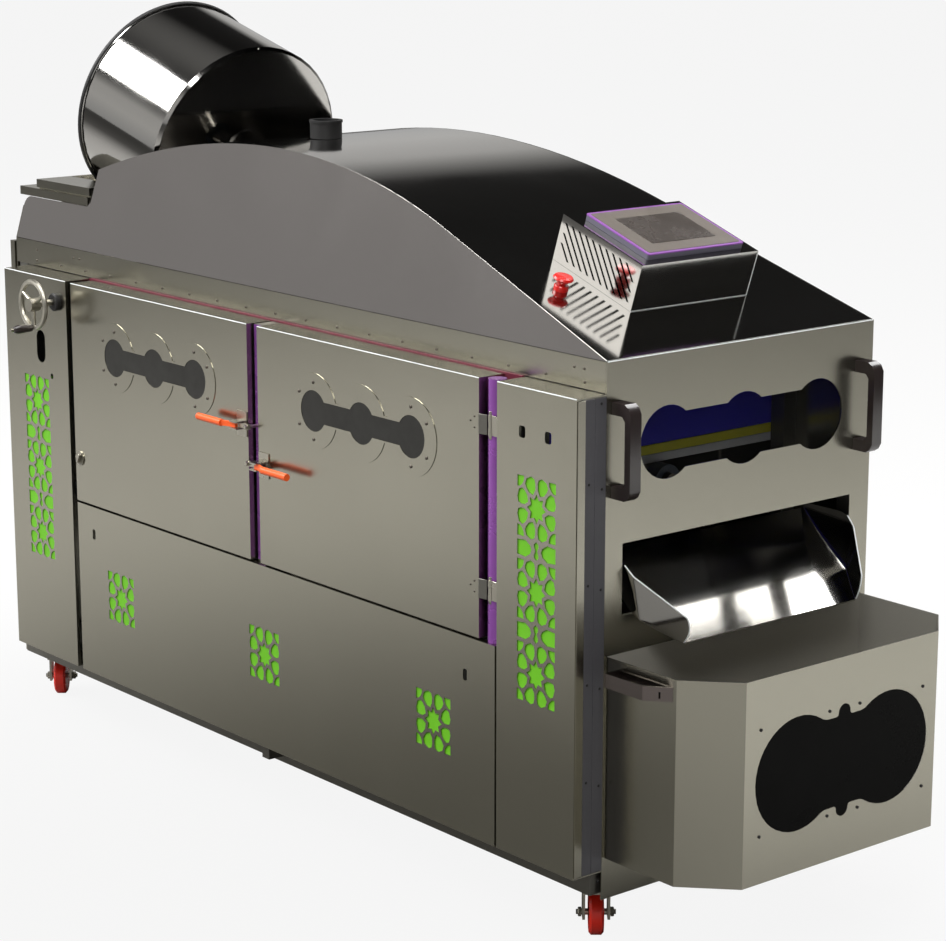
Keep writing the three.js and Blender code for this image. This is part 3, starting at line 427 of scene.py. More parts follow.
def handled(tree, shader, size, smoothest, roughest):
    """Handling marks move the roughness between two values; their mask is returned."""
    marks = node(tree, "ShaderNodeGroup", (-800, -200), {"Size": size},
                 node_tree=shader_group("handling"))
    rough_map = node(tree, "ShaderNodeMapRange", (-400, -100),
                     {"To Min": smoothest, "To Max": roughest})
    tree.links.new(marks.outputs["Mask"], rough_map.inputs["Value"])
    tree.links.new(rough_map.outputs["Result"], shader.inputs["Roughness"])
    return marks.outputs["Mask"]


def bumped(tree, shader, height, strength, distance):
    """A height pattern bumps the surface over a distance in metres."""
    bump = node(tree, "ShaderNodeBump", (-400, -350), {"Strength": strength, "Distance": distance})
    tree.links.new(height, bump.inputs["Height"])
    tree.links.new(bump.outputs["Normal"], shader.inputs["Normal"])


def metal(name, colour, rough, rough_spread, grain, stretch, scale, metallic=1.0):
    """Steel sheet: grain moves its tone and bumps it, and handling marks move its roughness."""
    made, tree, shader = new_material(name, {"Metallic": metallic})
    rolled = node(tree, "ShaderNodeGroup", (-800, 100), {"Scale": scale, "Stretch": stretch},
                  node_tree=shader_group("grain"))
    tone_by(tree, shader, rolled.outputs["Mask"], shade(colour, 0.93), shade(colour, 1.06))
    handled(tree, shader, 3.2, rough, rough + rough_spread)
    bumped(tree, shader, rolled.outputs["Height"], grain, 0.0002)
    return made


def coated(name, colour, rough, skin, scale, coat=0.0, spread=0.12, metallic=0.0):
    """Paint or plastic: its tone drifts a little, and fine pits bump it."""
    made, tree, shader = new_material(name, {"Metallic": metallic, "Coat Weight": coat,
                                             "Coat Roughness": 0.08})
    pits = node(tree, "ShaderNodeGroup", (-800, 100), {"Scale": scale},
                node_tree=shader_group("skin"))
    tone_by(tree, shader, pits.outputs["Tone"], shade(colour, 1 - spread), shade(colour, 1 + spread))
    handled(tree, shader, 9, rough, min(rough + 0.15, 1))
    bumped(tree, shader, pits.outputs["Height"], skin, 0.0003)
    return made


def pane_glass(name, tint, alpha, gloss):
    """A tinted pane: how much it covers what stands behind it is its alpha, with faint smears."""
    made, tree, shader = new_material(name, {
        "Metallic": 0.0, "IOR": 1.45, "Transmission Weight": 0.0, "Alpha": alpha,
        "Specular IOR Level": gloss})
    smears = handled(tree, shader, 12, 0.03, 0.09)
    tone_by(tree, shader, smears, (tint * 0.75, tint * 0.72, tint * 0.62, 1),
            (tint * 1.2, tint * 1.18, tint * 1.05, 1))
    return made


FINISHES = {}


def finishes():
    """All finishes by name, made once from the colours in the panel."""
    if FINISHES:
        return FINISHES
    look = bpy.context.scene.roaster_finishes
    mirror = tuple(look.mirror)
    FINISHES.update({
        "steel": metal("SatinSteel", tuple(look.steel), 0.21, 0.05, 0.03, (1, 1, 6), 420),
        # The cheeks' steel is darkened as painted shade
        "arch": metal("ArchSteelShaded", tuple(look.arch), 0.17, 0.04, 0.02, (6, 1, 1), 420),
        "mirror": metal("PolishedSteel", mirror, 0.07, 0.05, 0.01, (6, 1, 1), 420),
        "chute": metal("ChuteSteel", mirror, 0.07, 0.04, 0.01, (1, 8, 1), 420),
        # Bin handles: partly their own brownish tone, partly painted shade where the steel mirrors the
        # dark ceiling
        "handle": metal("HandleSteelAndShade", linear(112, 104, 101), 0.2, 0.08, 0.03, (1, 1, 1), 420),
        "inside": metal("BinInside", linear(170, 167, 158), 0.3, 0.1, 0.02, (1, 1, 6), 420, 0.2),
        "tube": metal("FrameSteel", linear(120, 118, 112), 0.34, 0.2, 0.2, (1, 1, 1), 400),
        "zinc": metal("ZincedSteel", linear(176, 172, 160), 0.22, 0.2, 0.3, (1, 1, 1), 900),
        "drum": metal("DrumSteel", linear(104, 98, 92), 0.38, 0.2, 0.3, (1, 1, 1), 300),
        "black": coated("BlackPlastic", linear(42, 34, 33), 0.26, 0.12, 1500, coat=0.5),
        "dark": coated("DarkRubber", linear(16, 15, 15), 0.5, 0.3, 1200),
        "red": coated("RedPlastic", tuple(look.stop), 0.28, 0.1, 1200, coat=0.3),
        "wheel": coated("WheelRed", linear(226, 34, 10), 0.34, 0.1, 1200, coat=0.2),
        "post": coated("PostPaint", linear(78, 77, 81), 0.5, 0.1, 900, spread=0.05),
        "orange": coated("OrangeGrip", tuple(look.grip), 0.33, 0.35, 1100),
        "green": coated("VentPaint", tuple(look.lattice), 0.45, 0.15, 1000, spread=0.06),
        "purple": coated("HingePaint", tuple(look.post), 0.2, 0.06, 1000, coat=0.6, metallic=0.55),
        "motor": coated("MotorPaint", linear(52, 66, 84), 0.42, 0.2, 800),
        "crimson": coated("DoorSeal", linear(96, 12, 40), 0.5, 0.3, 900),
        "violet": coated("BezelViolet", linear(128, 70, 152), 0.35, 0.06, 1000),
        "screen": coated("ScreenGlass", linear(66, 60, 56), 0.2, 0.0, 900, coat=0.2),
        "housing": coated("PanelHousing", linear(92, 90, 104), 0.5, 0.08, 900, spread=0.04),
        "bezel": coated("BezelFace", linear(88, 80, 72), 0.4, 0.05, 900),
        "blue": coated("BluePaint", linear(62, 54, 250), 0.5, 0.1, 900),
        "yellow": coated("YellowPaint", linear(238, 232, 60), 0.5, 0.1, 900),
        # Near-white paint on the hems is a painted highlight; the shield's lower hem takes it as its own
        # pale colour
        "hem": coated("PaintedHighlightHem", linear(226, 229, 229), 0.35, 0.05, 900),
        "glass": pane_glass("SmokedGlass", 0.020, 1.0, 0.22),
        "binpane": pane_glass("BinPane", 0.003, 1.0, 0.04),
        "clear": pane_glass("ClearGlass", 0.002, 0.22, 0.08),
    })
    return FINISHES


FINISH_NODES = {
    "arch": ("cheek_near", "cheek_far"),
    "mirror": ("roof_sheet", "console_box", "mixing_drum"),
    "chute": ("chute", "feed_well"),
    "steel": ("feed_collar",),
    "tube": ("frame",),
    "zinc": ("handwheel",),
    "drum": ("roasting_drum", "chamber_floor", "burner"),
    "handle": ("bin_handle_near", "bin_handle_far"),
    "black": ("pull_handle_near", "pull_handle_far", "handwheel_grip"),
    "dark": ("steam_outlet",),
    "red": ("stop_collar", "stop_button"),
    "purple": ("hinge_post",),
    "crimson": ("door_seal",),
    "housing": ("touch_panel",),
    "motor": ("mixing_gearmotor", "drum_gearmotor", "drum_bearing_front", "drum_bearing_rear"),
    "green": ("front_vent_backing", "rear_vent_backing", "lower_vent_backing"),
    "glass": ("door_front_glass", "door_rear_glass"),
    "binpane": ("bin_window",),
    "clear": ("front_window",),
}
NODE_FINISH = {name: key for key, names in FINISH_NODES.items() for name in names}
ROUNDED = ("roof_sheet", "steam_outlet", "hinge_post", "handwheel", "handwheel_grip",
           "stop_collar", "stop_button", "mixing_drum", "roasting_drum",
           "clamp_upper_lever", "clamp_lower_lever", "pull_handle_near", "pull_handle_far")

# The bin's lining: heights in metres, and cosines of the angle to the up or inward direction
LINING_FLOOR = 0.05
LINING_LEVEL = 0.9
LINING_INWARD = 0.35


def finish_of(name):
    """The finish of a solid: its own, or else that of its family."""
    if name in NODE_FINISH:
        return NODE_FINISH[name]
    if name.startswith("caster_wheel"):
        return "wheel"
    if name.endswith("_lever"):
        return "orange"
    if name.startswith(("caster_fork", "clamp")):
        return "zinc"
    return "steel"


OPERATORS = []


def operator(identifier, label):
    """Gives a class the names that its button needs, and puts it on the list of operators."""
    def mark(made):
        made.bl_idname = identifier
        made.bl_label = label
        OPERATORS.append(made)
        return made
    return mark


@operator("roaster.body_finishes", "Body finishes")
class BodyFinishes(bpy.types.Operator):
    """Gives every solid of the machine its finish, and a duller lining to the bin"""

    def execute(self, context):
        made = finishes()
        for name, thing in NODES.items():
            finish = made[finish_of(name)]
            thing.data.materials.clear()
            thing.data.materials.append(finish)
            if name in ROUNDED or name.startswith("caster_wheel"):
                smoothed(name, finish)
        self.line_bin(made["inside"])
        return {"FINISHED"}

    def line_bin(self, lining):
        """The inner faces of the bin take the lining: they look at its upright middle axis, or up."""
        skin = smoothed("bin", finishes()["steel"], FOLD_BIN)
        skin.data.materials.append(lining)
        low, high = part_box("bin")
        middle = (low + high) / 2
        for face in skin.data.polygons:
            inwards = Vector((middle.x - face.center.x, middle.y - face.center.y, 0))
            floor = face.normal.z > LINING_LEVEL and face.center.z < low.z + LINING_FLOOR
            if floor or face.normal.dot(inwards.normalized()) > LINING_INWARD:
                face.material_index = 1


# Hinges of the front door: places (s, y) and levels in millimetres, sizes of the metal in metres
HINGE_AXIS = (277, -460)
HINGE_LEVELS = {"upper": 1109.5, "lower": 753.5}
LEAF_AT_AXIS = (283.8, -463.4)
LEAF_ON_DOOR = (306.8, -467.4)
WING_MIDDLE = (261, -461)
WING_HALF_WIDTH = 0.0095
PIN_RADIUS = 0.0045
PIN_END = 0.0298
BARREL_RADIUS = 0.0060
BARREL_GAP = 0.0078


@operator("roaster.door_hinges", "Door hinges")
class DoorHinges(bpy.types.Operator):
    """Leaves, barrels, pins and screws of the front door's two hinges"""

    def execute(self, context):
        made = finishes()
        tall = context.scene.roaster_sizes.hinge_height / 2
        for label, z in HINGE_LEVELS.items():
            inner = placed([*LEAF_AT_AXIS, z])
            outer = placed([*LEAF_ON_DOOR, z])
            width = np.linalg.norm(inner - outer)
            leaf = plate((inner + outer) / 2, (inner - outer) / width, UP, width / 2, tall, 0.001,
                         slab_profile(0.0022, 0.0005), 3)
            piece(f"hinge_leaf_{label}", [leaf], "front_door", made["tube"])
            screws = turned(button(0.0024, 0.0014), placed([
                [s, DOOR_PLANE - 0.2, z + above]
                for s, above in ((321, 13.4), (321, -10.3), (334, 2.8))]), NEAR, 14)
            piece(f"hinge_screws_{label}", [screws], "front_door", made["drum"])
            pin = turned(self.barrel(tall), placed([*HINGE_AXIS, z]), UP, 20)
            wing = plate(placed([*WING_MIDDLE, z]), FORWARD, UP, WING_HALF_WIDTH, tall, 0.001,
                         slab_profile(0.002, 0.0005), 3)
            piece(f"hinge_pin_{label}", [pin, wing], "machine", made["zinc"])
        return {"FINISHED"}

    def barrel(self, tall):
        """Profile of a pin in its barrel, closed at both poles, with a slit round its middle."""
        half = np.array([[0.0040, PIN_END], [PIN_RADIUS, PIN_END - 0.0008],
                         [PIN_RADIUS, tall + 0.001], [BARREL_RADIUS, tall + 0.0005],
                         [BARREL_RADIUS, BARREL_GAP], [0.0053, 0.0074]])
        return np.concatenate([[[0, PIN_END]], half, half[::-1] * [1, -1], [[0, -PIN_END]]])


# Door windows and latch, in millimetres: screws stand on rings round both ends of a window
RING_OFFSET = 177.5
RING_RADIUS = 66
RING_ANGLES = (90, 145, 215, 270)
COVER_RISE = 1.9
LATCH_S = 1908
LATCH_LEVEL = 756


@operator("roaster.door_fittings", "Door fittings")
class DoorFittings(bpy.types.Operator):
    """Screws round the door windows, and the round latch of the rear door"""

    def execute(self, context):
        made = finishes()
        radius = context.scene.roaster_sizes.screw_radius
        angles = np.radians(RING_ANGLES)
        for body, pane in (("front_door", "door_front_glass"), ("rear_door", "door_rear_glass")):
            middle = measured(pane).mean(0)
            spots = [[middle[0] + side * (RING_OFFSET - RING_RADIUS * math.cos(a)),
                      DOOR_PLANE - COVER_RISE, middle[2] + RING_RADIUS * math.sin(a)]
                     for side in (-1, 1) for a in angles]
            head = turned(button(radius, 0.0022), placed(spots), NEAR, 14)
            piece(f"{body}_cover_screws", [head], body, made["drum"])
        ring = np.array([[0, 0.0005], [0.016, 0.0005], [0.019, 0.002], [0.019, -0.001], [0, -0.001]])
        base = turned(ring, placed([LATCH_S, DOOR_PLANE - 1, LATCH_LEVEL]), NEAR, 28)
        wing = plate(placed([LATCH_S, DOOR_PLANE - 2, LATCH_LEVEL]), (0.5, 0, 0.866),
                     (-0.866, 0, 0.5), 0.013, 0.0035, 0.0034, slab_profile(0.007, 0.001), 5)
        piece("rear_door_latch", [base, wing], "rear_door", made["zinc"])
        return {"FINISHED"}


# Rivets: places in millimetres, a range as start, end and step, and the height of a head in metres
EAVES_LEVELS = (1251, 1223)
EAVES_SINGLES = (69, 99, 2013, 2043, 2226)
EAVES_ROW = (67, 2240, 120)
POST_LEVELS = (171, 1100, 211)
POST_FACE = -2.2
RIVET_HEIGHT = 0.0016


@operator("roaster.rivets", "Rivets")
class Rivets(bpy.types.Operator):
    """Rivets along the eaves rail and down the front post"""

    def execute(self, context):
        made = finishes()
        head = button(context.scene.roaster_sizes.rivet_radius, RIVET_HEIGHT)
        face = measured("eaves_rail")[0, 1] - 0.6
        upper = [[s, face, EAVES_LEVELS[0]] for s in EAVES_SINGLES]
        lower = [[s, face, EAVES_LEVELS[1]] for s in np.arange(*EAVES_ROW)]
        heads = turned(head, placed(upper + lower), NEAR, 12)
        piece("eaves_rivets", [heads], "machine", made["drum"])
        levels = np.arange(*POST_LEVELS)
        inner = [[POST_FACE, -401, z] for z in levels] + [[POST_FACE, -404, 1192]]
        outer = [[POST_FACE, -436, z + 14] for z in levels[1:]]
        heads = turned(head, placed(inner + outer), FORWARD, 12)
        piece("post_rivets", [heads], "machine", made["dark"])
        return {"FINISHED"}


# Strip on the mullion, and covers of the front post as name, from y, to y and finish; all in mm
STRIP_MIDDLE = (1130, -449.6, 924)
POST_COVERS = (("post_cover_outer", -445.5, -420.4, "post"),
               ("post_cover_inner", -419.6, -390, "post"),
               ("post_corner", -466.5, -446, "steel"))


@operator("roaster.column_fittings", "Column fittings")
class ColumnFittings(bpy.types.Operator):
    """Bush of the handwheel's shaft, strip on the mullion and covers of the front post"""

    def execute(self, context):
        made = finishes()
        bush = np.array([[0, 0.001], [0.0085, 0.001], [0.0085, 0.012], [0.020, 0.012],
                         [0.023, 0.009], [0.023, -0.001], [0, -0.001]])
        hub = measured("handwheel").mean(0)
        parts = [turned(bush, placed([hub[0], DOOR_PLANE - 0.4, hub[2]]), NEAR, 28)]
        piece("crank_bush", parts, "machine", made["dark"])
        strip = plate(placed(STRIP_MIDDLE), FORWARD, UP, 0.0142, 0.281, 0.001,
                      slab_profile(0.0014, 0.0004), 3)
        piece("mullion_strip", [strip], "machine", made["purple"])
        low, high = measured("front_post")
        half_height = (high[2] - low[2]) / 2000 - 0.0011
        for name, y0, y1, key in POST_COVERS:
            cover = plate(placed([-0.4, (y0 + y1) / 2, (low[2] + high[2]) / 2]), FAR, UP,
                          (y1 - y0) / 2000, half_height, 0.001, slab_profile(0.0018, 0.0004), 3)
            piece(name, [cover], "machine", made[key])
        return {"FINISHED"}


# Sheets of the shield: name, foot, top, place s and finish, in millimetres; half its width in metres
SHIELD_SHEETS = (("shield_plate", 1004, 1205.6, 274, "blue"),
                 ("shield_band", 984, 1006, 271, "yellow"),
                 ("shield_hem", 966, 985, 269, "hem"))
SHIELD_MIDDLE = 4
SHIELD_HALF_WIDTH = 0.374


@operator("roaster.drum_shield", "Drum shield")
class DrumShield(bpy.types.Operator):
    """Painted shield that hangs from the side rails in front of the roasting drum"""

    def execute(self, context):
        made = finishes()
        for name, foot, top, s, key in SHIELD_SHEETS:
            sheet = plate(placed([s, SHIELD_MIDDLE, (foot + top) / 2]), FAR, UP, SHIELD_HALF_WIDTH,
                          (top - foot) / 2000, 0.003, slab_profile(0.003, 0.0008), 4)
            piece(name, [sheet], "machine", made[key])
        return {"FINISHED"}


# Hems painted near-white along the tops of folded sheets, as painted highlights: name, solid, body and
# radius in metres
TOP_HEMS = (("front_column_hem", "front_column", "machine", 0.0013),
            ("rear_column_hem", "rear_column", "machine", 0.0013),
            ("front_door_hem", "door_front", "front_door", 0.0012),
            ("rear_door_hem", "door_rear", "rear_door", 0.0012))
HEM_POINTS = 12


@operator("roaster.bright_hems", "Bright hems")
class PaintedHighlightHems(bpy.types.Operator):
    """Folded edges on the roof front, column tops and door tops, painted near-white as painted highlights
    """

    def execute(self, context):
        low, high = measured("front_panel")
        self.hem("roof_front_hem", [0.6, low[1] + 2, high[2] - 1], [0.6, high[1] - 2, high[2] - 1],
                 "machine", 0.0013)
        for name, solid, body, radius in TOP_HEMS:
            low, high = measured(solid)
            y, z = DOOR_PLANE + 0.6, high[2] - 0.8
            self.hem(name, [low[0] + 1, y, z], [high[0] - 1, y, z], body, radius)
        return {"FINISHED"}

    def hem(self, name, start, end, body, radius):
        """A straight round hem between two places in millimetres."""
        path = placed(np.linspace(start, end, HEM_POINTS))
        piece(name, [tube(path, radius)], body, finishes()["hem"])


# Chute: lengths in millimetres, and counts of the rows and columns of its skins
CHUTE_SHEET = 3.0
CHUTE_CORNER = 2.0
CHUTE_BACK = -130
CHUTE_FLOOR_REACH = 231
CHUTE_SIDE_REACH = 243.5
CHUTE_SWELL = 29
CHUTE_ROWS = 64
ROWS_INSIDE = 34
SIDE_COLUMNS = 11
CORNER_COLUMNS = 7
FLOOR_COLUMNS = 22


def chute_half_width(x, z):
    """Half width of the chute, in mm: its sides lean inwards below and close in beyond the opening."""
    return 336 - 0.19 * (845 - z) - 0.588 * np.maximum(x - 24, 0)


def chute_skin(sheet):
    """One skin of the chute, in mm: rows run outwards, and columns go down, across and up again.

    The trough follows z = 743 - 0.632 x + 0.00076 x^2 out to x = 101. A side rises from it to the
    line z = 845 - 0.895 x, over x = 0, and its front edge swells by CHUTE_SWELL * h * (1 - h) at the
    share h of its height. The corner is a quarter circle of CHUTE_CORNER, and sheet is the skin's
    distance outwards.
    """
    t = np.linspace(0, 1, CHUTE_ROWS)[:, None]
    foot = CHUTE_BACK + CHUTE_FLOOR_REACH * t
    floor = 743 - 0.632 * foot + 0.00076 * foot ** 2
    head = CHUTE_BACK + CHUTE_SIDE_REACH * t
    top = np.minimum(850, 845 - 0.895 * np.maximum(head, 0) + 0.25 * np.maximum(-head, 0))
    a = np.linspace(0, math.pi / 2, CORNER_COLUMNS)
    inset = CHUTE_SHEET + CHUTE_CORNER - (CHUTE_CORNER + sheet) * np.cos(a)
    rise = CHUTE_CORNER - (CHUTE_CORNER + sheet) * np.sin(a)
    share = np.linspace(1, 0, SIDE_COLUMNS + 1)[None, :-1]
    height = np.concatenate([CHUTE_CORNER + (top - floor - CHUTE_CORNER) * share,
                             np.broadcast_to(rise, (CHUTE_ROWS, CORNER_COLUMNS))], 1)
    inset = np.concatenate([np.full(SIDE_COLUMNS, CHUTE_SHEET - sheet), inset])[None]
    h = np.clip(height / (top - floor), 0, 1)
    x = foot + (head - foot) * h + CHUTE_SWELL * h * (1 - h) * t ** 4
    z = floor + height
    y = chute_half_width(x, z) - inset
    side = np.stack([x, -y, z], -1)
    across = np.linspace(-1, 1, FLOOR_COLUMNS + 2)[None, 1:-1, None]
    bottom = side[:, -1:] * np.array([1, 0, 1]) + np.array([0, 1, 0]) * (across * y[:, -1:, None])
    return np.concatenate([side, bottom, side[:, ::-1] * np.array([1, -1, 1])], 1)


@operator("roaster.chute_sheet", "Chute")
class ChuteSheet(bpy.types.Operator):
    """Folded scoop of the chute, and the hems of its sides, painted near-white as painted highlights"""

    def execute(self, context):
        made = finishes()
        inner = chute_skin(0.0)
        outer = chute_skin(CHUTE_SHEET)
        loop = np.concatenate([inner, outer[:, ::-1]], 1) * np.array([-1, 1, 1])
        rows, columns = loop.shape[:2]
        faces = ring_faces(rows, columns)
        j = np.arange(columns // 2 - 1)
        cap = np.stack([j, j + 1, columns - 2 - j, columns - 1 - j], -1)
        ends = np.concatenate([cap, cap[:, ::-1] + (rows - 1) * columns])
        scoop = piece("chute_scoop", [(placed(loop), np.concatenate([faces, ends]))], "machine",
                      made["chute"])
        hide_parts("chute")
        middle = (inner + outer)[:, :SIDE_COLUMNS + 1] / 2
        edge = np.concatenate([middle[ROWS_INSIDE:, 0], middle[-1, 1:]])
        for name, side in (("chute_lip_near", 1), ("chute_lip_far", -1)):
            path = placed(edge * np.array([-1, side, 1]))
            piece(name, [tube(path, 0.0016)], "machine", made["hem"])
        return {"FINISHED"}


def on_roof(s, y, height):
    """A point above the front slope of the roof, in metres; height is square to the slope, in mm."""
    sin, cos = math.sin(ROOF_SLOPE), math.cos(ROOF_SLOPE)
    return placed([s - height * sin, y, ROOF_FOOT + ROOF_RISE * s + height * cos])


# Console, in millimetres: places down the slope, and heights square to it
CONSOLE_FRONT = 166.6
PANEL_MIDDLE = 283
BEZEL_TOP = 121
HEM_RISE = 0.9


@operator("roaster.console_fittings", "Console fittings")
class ConsoleFittings(bpy.types.Operator):
    """Bezel, plain screen and the console's hems, painted near-white as painted highlights"""

    def execute(self, context):
        made = finishes()
        self.layer("bezel_edge", BEZEL_TOP - 2.4, (0.1046, 0.1406), 0.006, (0.0028, 0.0006), "violet")
        foot = [on_roof(CONSOLE_FRONT, y, HEM_RISE) for y in np.linspace(-171, 171, 8)]
        corner = [on_roof(CONSOLE_FRONT, 171.4, h) for h in np.linspace(HEM_RISE, 106, 8)]
        for name, path in (("console_foot_hem", foot), ("console_corner_hem", corner)):
            piece(name, [tube(path, 0.0008)], "machine", made["hem"])
        self.layer("bezel_face", BEZEL_TOP, (0.098, 0.134), 0.005, (0.0012, 0.0005), "bezel")
        self.layer("screen_pane", BEZEL_TOP + 1.2, (0.062, 0.093), 0.003, (0.0009, 0.0004), "screen")
        return {"FINISHED"}

    def layer(self, name, height, half_sizes, corner, slab, key):
        """A rounded plate over the touch panel, parallel to the front slope of the roof."""
        down = np.array([math.cos(ROOF_SLOPE), 0, -math.sin(ROOF_SLOPE)])
        sheet = plate(on_roof(PANEL_MIDDLE, 0, height), down, FAR, *half_sizes, corner,
                      slab_profile(*slab), 5)
        piece(name, [sheet], "machine", finishes()[key])


# Mixing drum: tilt in degrees, the middle of its back in millimetres, mouth in metres
DRUM_TILT = 15.5
DRUM_BACK = (1815, 0, 1517)
MOUTH_RADIUS = 0.2835
MOUTH_REACH = 0.3555
RIM_FLATTENING = 0.6


@operator("roaster.drum_rim", "Drum rim")
class DrumRim(bpy.types.Operator):
    """Rolled black rim of the mixing drum"""

    def execute(self, context):
        made = finishes()
        tilt = math.radians(DRUM_TILT)
        radius = context.scene.roaster_sizes.rim_radius
        back = np.array([-math.cos(tilt), 0, math.sin(tilt)])
        a = np.linspace(0, 2 * math.pi, 13)
        profile = np.stack([MOUTH_RADIUS + radius * np.cos(a) * RIM_FLATTENING,
                            MOUTH_REACH + radius * np.sin(a)], -1)
        rim = turned(profile, placed(DRUM_BACK), back, 96)
        piece("mixing_drum_rim", [rim], "mixing_pan", made["dark"])
        return {"FINISHED"}


# Screws round the bin window, as places (y, z) in millimetres
WINDOW_SCREWS = ((-244, 550), (-242, 322), (-43, 548), (48, 547),
                 (244, 544), (251, 319), (50, 318), (-42, 320))


@operator("roaster.bin_fittings", "Bin fittings")
class BinFittings(bpy.types.Operator):
    """Screws round the bin window"""

    def execute(self, context):
        made = finishes()
        face = measured("bin")[0, 0] - 0.6
        spots = [[face, y, z] for y, z in WINDOW_SCREWS]
        heads = turned(button(0.0035, 0.002), placed(spots), FORWARD, 14)
        piece("bin_window_screws", [heads], "collection_bin", made["dark"])
        return {"FINISHED"}


# Casters: swivel axes (s, y) in millimetres, their yaw in degrees, and heights in metres
SWIVELS = {"front_near": (79, -329), "front_far": (79, 329),
           "rear_near": (2283, -329), "rear_far": (2283, 329)}
CASTER_YAW = -39.5
CASTER_TRAIL = 0.022
AXLE_HEIGHT = 0.05
BOLT_HEIGHT = 0.118


@operator("roaster.caster_fittings", "Caster fittings")
class CasterFittings(bpy.types.Operator):
    """Axle nuts and mounting bolts of the casters"""

    def execute(self, context):
        made = finishes()
        yaw = math.radians(CASTER_YAW)
        forward = np.array([math.cos(yaw), math.sin(yaw), 0])
        across = np.array([-math.sin(yaw), math.cos(yaw), 0])
        nut = np.array([[0, 0.0315], [0.0105, 0.0315], [0.0105, 0.0375], [0.009, 0.039],
                        [0.0055, 0.039], [0.0055, 0.043], [0, 0.043]])
        for corner, (s, y) in SWIVELS.items():
            centre = placed([s, y, 0])
            axle = centre - CASTER_TRAIL * forward + np.array([0, 0, AXLE_HEIGHT])
            near = turned(nut, axle, -across, 6)
            far = turned(nut, axle, across, 6)
            bolts = turned(button(0.005, 0.005), [
                centre + a * 0.024 * forward + b * 0.022 * across + np.array([0, 0, BOLT_HEIGHT])
                for a in (-1, 1) for b in (-1, 1)], UP, 6)
            piece(f"caster_nuts_{corner}", [near, far, bolts], f"fork_{corner}", made["zinc"])
        return {"FINISHED"}


# Studio: tones as linear light, lamps in metres and watts, lip and camera in the measuring frame
FLOOR_HALF = 60.0
# Floor tones with painted shade: a painted shadow pool under the machine and a darker near side
FLOOR_PAINTED_SHADE = (0.10, 0.098, 0.092, 1)
FLOOR_NEAR_SHADE = (0.41, 0.405, 0.395, 1)
FLOOR_FAR = (0.70, 0.695, 0.68, 1)
CAMERA_GLOW = 0.9
SKY_ENDS = (0.42, 0.35)
SKY_STOPS = ((0.16, 0.55), (0.30, 0.50), (0.42, 0.02), (0.72, 0.01), (0.88, 0.25))
MACHINE_MIDDLE = (0, 0, 0.8)
LAMP_SIDE = (-4.0, -4.6, 5.8)
CHUTE_LIP = (-90, 0, 695)
OUTLET_OFFSET = (-0.51, 3.96, 4.44)
CAMERA_PLACE = (-3897.4, -3954.2, 2269.8)
PHOTO_WIDTH = 946
FOCAL_PIXELS = 2676
SENSOR_WIDTH = 36


